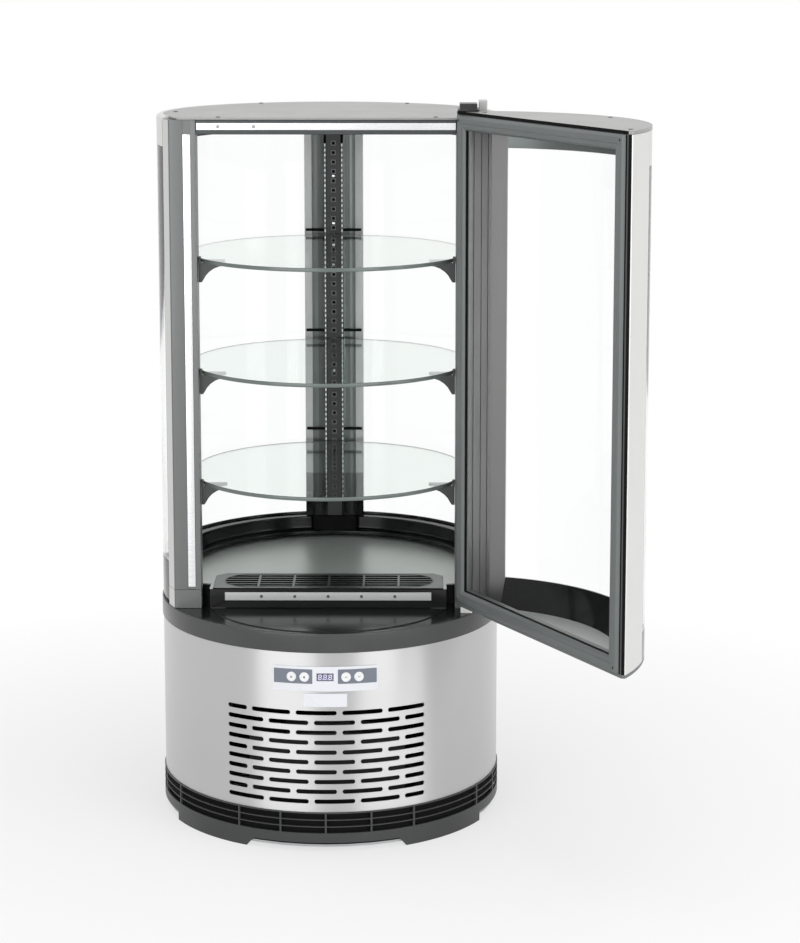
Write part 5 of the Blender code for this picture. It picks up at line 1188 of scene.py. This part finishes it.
def doorPiece(name, part, material, replaces=(), slot=None, **more):
    # a piece drawn shut that is opened and rides on the door
    return piece(name, opened(part), material, "door", replaces, slot, **more)


def inwards(centres, normals):
    # faces of an open door piece that look towards the case's axis when the door is shut
    place, direction = turnedShut(centres, normals)
    return (place * direction).sum(1) < 0


def rearEdge(centres, normals):
    # 2 for the door's dark rear edge, 1 where another face looks at the axis, 0 outside
    direction = turnedShut(centres, normals)[1]
    return np.where(direction[:, 1] > 0.8, 2, inwards(centres, normals).astype(int))


def edgeFinish(centres, normals):
    # side profiles: as rearEdge says, and 3 for the dark start of the round corner
    place, direction = turnedShut(centres, normals)
    corner = (np.abs(place[:, 0]) > cornerEdge) & (place[:, 1] > -door["rebate"] - door["darkCorner"])
    return np.where(corner & (direction[:, 1] < 0.98), 3, rearEdge(centres, normals))


def doorPlan():
    # outline of the door's plates: case circle in front, rounded corners, straight rear edge
    return np.concatenate([cornerArc[::-1], arcPoints(plan["radius"], doorCornerDeg, -doorCornerDeg)[1:-1],
                           cornerArc * (-1, 1)])


def doorPlate(top):
    # a flat plate of the door with the hole for its pin
    return plate(doorPlan(), [pinHole], door["plate"], None, lying(top))


def doorBand(low, high, footRadius):
    # curved band that stands on a plate, thinner towards its free end when its foot radius is smaller
    profile = [(plan["radius"], low), (plan["radius"], high), (glassInner, high), (footRadius, low)]
    return revolve(softened(profile, door["bandEdges"]), -bandEnd, bandEnd)


def profileSection():
    # from the pane's edge round the skin and the corner to the frame, then along the grooved reveal
    reveal = around(glassInner, door["revealDeg"])
    start = np.array([door["frameInner"], -frameFront - gap])
    along = (reveal - start) / np.linalg.norm(reveal - start)
    aside = np.array([-along[1], along[0]]) * (1 if along[1] < 0 else -1)
    grooves = []
    for y in door["grooveSpots"]:
        centre = start + along * ((-y - start[1]) / along[1])
        near, far = centre - along * door["groove"] / 2, centre + along * door["groove"] / 2
        grooves += [near, near + aside * door["grooveDeep"], far + aside * door["grooveDeep"], far]
    side = door["frameOuter"] + gap
    return np.concatenate([
        arcPoints(plan["radius"], door["profileDeg"], doorCornerDeg)[:-1], cornerArc,
        [(side, -door["rebate"]), (side, -frameFront - gap), start], grooves, [reveal],
        arcPoints(glassInner, door["revealDeg"], door["profileDeg"])[1:]])


def frameCorners(half):
    # x and z of an upright rectangle's corners, each with the signs of the way to its middle
    return ((-half, frameLow, 1, 1), (half, frameLow, -1, 1), (half, frameTop, -1, -1),
            (-half, frameTop, 1, -1))


def mitredFrame(profile, half, sideWidth):
    # a (distance from the outer edge, y) profile carried round the rectangle, mitred at its corners
    profile = np.asarray(profile, float)
    across = profile[:, 0] * sideWidth / profile[:, 0].max()
    rings = [np.column_stack([x + ix * across, profile[:, 1], z + iz * profile[:, 0]])
             for x, z, ix, iz in frameCorners(half)]
    return sweep(rings, closed=True)


def sealWalls(centres, normals):
    # the walls of the seal's opening and its outer side walls lie in shade; its lower edge doesn't
    direction = turnedShut(centres, normals)[1]
    upright = (np.abs(direction[:, 1]) < 0.3) & (np.abs(normals[:, 2]) < 0.5)
    middle = (frameLow + frameTop) / 2
    return upright | ((np.abs(normals[:, 2]) > 0.8) & (normals[:, 2] * (centres[:, 2] - middle) < 0))


doorPiece("doorCapPlate", doorPlate(door["top"]), lidCoat, "door_top_cap", "silver_paint",
          bevel=door["plateEdge"], extra=(lidCoat, blackAndShade), choose=rearEdge)
# its inner face is a dark grey, made darker still by painted shade under the cap
doorPiece("doorCapBand", doorBand(topZ - door["bandSunk"], door["top"] - door["topBand"], glassInner),
          silverCoat, slot="silver_paint", extra=(coveCoat,), choose=inwards)
doorPiece("doorTrayPlate", doorPlate(lowZ), sealRubber, "door_bottom_tray", "black_gloss",
          bevel=door["plateEdge"], extra=(traySteel,), choose=lambda c, n: n[:, 2] > 0.8)
doorPiece("doorTrayBand",
          doorBand(lowZ - door["bandSunk"], door["bottom"] + door["band"], door["bandFoot"]), glossBlack,
          slot="black_gloss")
paneLow, paneHigh = door["bottom"] + door["band"] + gap, door["top"] - door["topBand"] - gap
doorPiece("doorPane", revolve(paneSection(paneLow, paneHigh), -bandEnd, bandEnd), clearGlass, "door_glass",
          "clear_glass")
for side, word in ((1, "hinge"), (-1, "free")):
    doorPiece(f"doorEdge_{word}", extrude(profileSection() * (side, 1), frameLow, frameTop), silverCoat,
              f"door_profile_{word}", "silver_paint", sharp=25, extra=(revealCoat, edgeGrey, blackAndShade),
              choose=edgeFinish)
frameSection = [(0, -door["frameFace"]), (0, -frameFront), (door["frameBar"], -frameFront),
                (door["frameBar"], -door["frameFace"])]
doorPiece("doorFrame", mitredFrame(softened(frameSection, door["frameEdges"]), door["frameOuter"],
                                   door["frameOuter"] - door["frameInner"]),
          postCoat, "door_frame", "grey_profile", sharp=28)

# the seal stands on the frame; its face has a fine groove between chamfered sides
faceY, lipY, baseY = -seal["face"], -seal["face"] - seal["chamfer"], -door["frameFace"] + gap
wide, flank = seal["width"], seal["width"] - seal["chamfer"]
groove = [(wide * share, faceY - deep) for share, deep in zip(seal["groove"], (0, seal["grooveDeep"], 0))]
sealSection = [(0, lipY), (0, baseY), (wide, baseY), (wide, lipY), (flank, faceY), *groove,
               (seal["chamfer"], faceY)]
doorPiece("doorSeal", mitredFrame(softened(sealSection, seal["edges"]), seal["outer"], wide), sealRubber,
          "door_gasket", "rubber", sharp=28, extra=(blackAndShade,), choose=sealWalls)
pinInset = wide * seal["pinShare"]
sealPins = [plate(ringPoints(seal["pinRadius"], 14, (x + ix * pinInset, z + iz * pinInset)), [],
                  seal["pinWall"], None, frontFacing(faceY + seal["pinLift"]))
            for x, z, ix, iz in frameCorners(seal["outer"])]
doorPiece("sealPins", joined(*sealPins), blackAndShade, slot="rubber")
screws("capScrews", darkPlastic, [(*spot, door["top"] - capScrew["sunk"]) for spot in capScrew["spots"]],
       capScrew["radius"], capScrew["height"], (0, 0, 1), body="door")
print("door built")


# Hinges

pin = {"chamferLow": 0.0004, "chamferTop": 0.0008}
bracketScrew = {"radius": 0.0026, "height": 0.0012, "aside": 0.007, "y": -0.0912, "z": 0.9382}
bracketSpots = [(hinge["x"] + side * bracketScrew["aside"], bracketScrew["y"], bracketScrew["z"])
                for side in (-1, 1)]
bevelledCopy("hinge_block", "hingeBlock", whiteNylon, slot="white_nylon", bevel=0.0008, segments=3)
bevelledCopy("hinge_bracket", "hingeBracket", blackSteel, slot="black_steel", bevel=0.0006)
bevelledCopy("hinge_cover", "hingeCover", wrapCoat, slot="silver_paint", bevel=0.0010, segments=3)
pinLow, pinTop = heights("hinge_pin")
pinTall = pinTop - pinLow
pinVerts, pinFaces = turned([(0, 0), (door["pin"] - pin["chamferLow"], 0), (door["pin"], pin["chamferLow"]),
                             (door["pin"], pinTall - pin["chamferTop"]),
                             (door["pin"] - pin["chamferTop"], pinTall), (0, pinTall)], 32)
piece("hingePin", (pinVerts + (hinge["x"], hinge["y"], pinLow), pinFaces), brightSteel,
      replaces="hinge_pin", slot="strike_steel")
screws("bracketScrews", brightSteel, bracketSpots, bracketScrew["radius"], bracketScrew["height"],
       (0, 0, 1))


# Parts that keep their CAD shape

keptFinishes = {
    "base_pan": panSteel, "compressor": canPaint, "condenser": finMetal, "condenser_fan_frame": darkPlastic,
    "condenser_fan_blade": darkPlastic, "evaporator": finMetal, "evaporator_fan_frame": darkPlastic,
    "evaporator_fan_blade": darkPlastic, "control_box": darkPlastic, "cable_gland": darkPlastic,
}
for node, material in keptFinishes.items():
    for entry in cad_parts[node].material_slots:
        entry.material = material
print("hinges and inner parts built")


# Floor and world

studio = {
    "floorHalf": 6.0, "floorColour": (0.86, 0.86, 0.86), "floorRoughness": 0.9, "floorSpecular": 0.1,
    "whitenNear": 0.62, "whitenFar": 1.0, "shadowReach": (0.30, 1.05), "worldDiffuse": 0.50,
}


def combined(tree, operation, first, second):
    # one value worked out from two
    node = tree.nodes.new("ShaderNodeMath")
    node.operation = operation
    tree.links.new(first, node.inputs[0])
    tree.links.new(second, node.inputs[1])
    return node.outputs["Value"]


def blended(tree, share, first, second, output):
    # the second shader takes over from the first by the share
    blend = tree.nodes.new("ShaderNodeMixShader")
    tree.links.new(share, blend.inputs["Fac"])
    tree.links.new(first, blend.inputs[1])
    tree.links.new(second, blend.inputs[2])
    tree.links.new(blend.outputs["Shader"], output.inputs["Surface"])


half = studio["floorHalf"]
floorMesh = bpy.data.meshes.new("studioFloor")
floorMesh.from_pydata([(-half, -half, 0), (half, -half, 0), (half, half, 0), (-half, half, 0)], [],
                      [(0, 1, 2, 3)])
floorObject = bpy.data.objects.new("studioFloor", floorMesh)
scene.collection.objects.link(floorObject)
# the floor keeps the object's soft shadow near it and turns to plain white further out
floorMaterial, tree, shader = newMaterial("studio_floor")
shader.inputs["Roughness"].default_value = studio["floorRoughness"]
shader.inputs["Specular IOR Level"].default_value = studio["floorSpecular"]
shader.inputs["Base Color"].default_value = (*studio["floorColour"], 1)
white = tree.nodes.new("ShaderNodeEmission")
rays = tree.nodes.new("ShaderNodeLightPath").outputs
coords, distance = tree.nodes.new("ShaderNodeTexCoord"), tree.nodes.new("ShaderNodeVectorMath")
distance.operation = "LENGTH"
tree.links.new(coords.outputs["Object"], distance.inputs[0])
far = ranged(tree, distance.outputs["Value"], studio["whitenNear"], studio["whitenFar"],
             *studio["shadowReach"])
seenRays = combined(tree, "MAXIMUM", rays["Is Camera Ray"], rays["Is Glossy Ray"])
blended(tree, combined(tree, "MULTIPLY", seenRays, far), shader.outputs["BSDF"], white.outputs["Emission"],
        tree.nodes["Material Output"])
floorMesh.materials.append(floorMaterial)

# the world is white where it is seen, directly, by gloss or through glass, and dimmer as a light
world = bpy.data.worlds.new("studio")
scene.world = world
world.use_nodes = True
tree = world.node_tree
tree.nodes.clear()
seen = tree.nodes.new("ShaderNodeBackground")
lighting = tree.nodes.new("ShaderNodeBackground")
lighting.inputs["Strength"].default_value = studio["worldDiffuse"]
seen.inputs["Color"].default_value = lighting.inputs["Color"].default_value = (1, 1, 1, 1)
rays = tree.nodes.new("ShaderNodeLightPath").outputs
seenRays = combined(tree, "MAXIMUM", rays["Is Camera Ray"], rays["Is Glossy Ray"])
blended(tree, combined(tree, "MAXIMUM", seenRays, rays["Is Transmission Ray"]),
        lighting.outputs["Background"], seen.outputs["Background"], tree.nodes.new("ShaderNodeOutputWorld"))


# Lamps and camera

lamps = {
    "frontLeft": {"place": (-1.32, -2.58, 0.80), "aim": (0, 0, 0.35), "size": (2.0, 1.5), "power": 27.0},
    "frontRight": {"place": (1.94, -2.16, 0.80), "aim": (0, 0, 0.35), "size": (2.5, 1.5), "power": 33.0},
    "overhead": {"place": (0.1, -0.3, 3.0), "aim": (0, 0, 0.3), "size": (1.8, 1.4), "power": 22.0},
}
for name, lamp in lamps.items():
    data = bpy.data.lights.new(name, "AREA")
    data.shape = "RECTANGLE"
    data.size, data.size_y = lamp["size"]
    data.energy = lamp["power"]
    obj = bpy.data.objects.new(name, data)
    scene.collection.objects.link(obj)
    direction = np.array(lamp["aim"]) - np.array(lamp["place"])
    obj.location = lamp["place"]
    obj.rotation_euler = (math.acos(-direction[2] / np.linalg.norm(direction)), 0.0,
                          math.atan2(direction[1], direction[0]) - math.pi / 2)

# focal length and height of the picture are in pixels
view = {"place": (0.111407, -3.316071, 1.153138), "pitch": 0.158034, "yaw": -0.005492, "focal": 2538.117,
        "tall": 943, "shiftY": -0.1394, "sensor": 36.0, "clip": (0.1, 50.0)}
camera = bpy.data.cameras.new("camera")
camera.sensor_fit = "AUTO"
camera.sensor_width = view["sensor"]
camera.lens = view["focal"] / view["tall"] * view["sensor"]
camera.shift_y = view["shiftY"]
camera.clip_start, camera.clip_end = view["clip"]
cameraObject = bpy.data.objects.new("camera", camera)
scene.collection.objects.link(cameraObject)
cameraObject.location = view["place"]
cameraObject.rotation_euler = (math.pi / 2 - view["pitch"], 0.0, -view["yaw"])
scene.camera = cameraObject
scene.view_settings.view_transform = "Standard"
print("studio built")
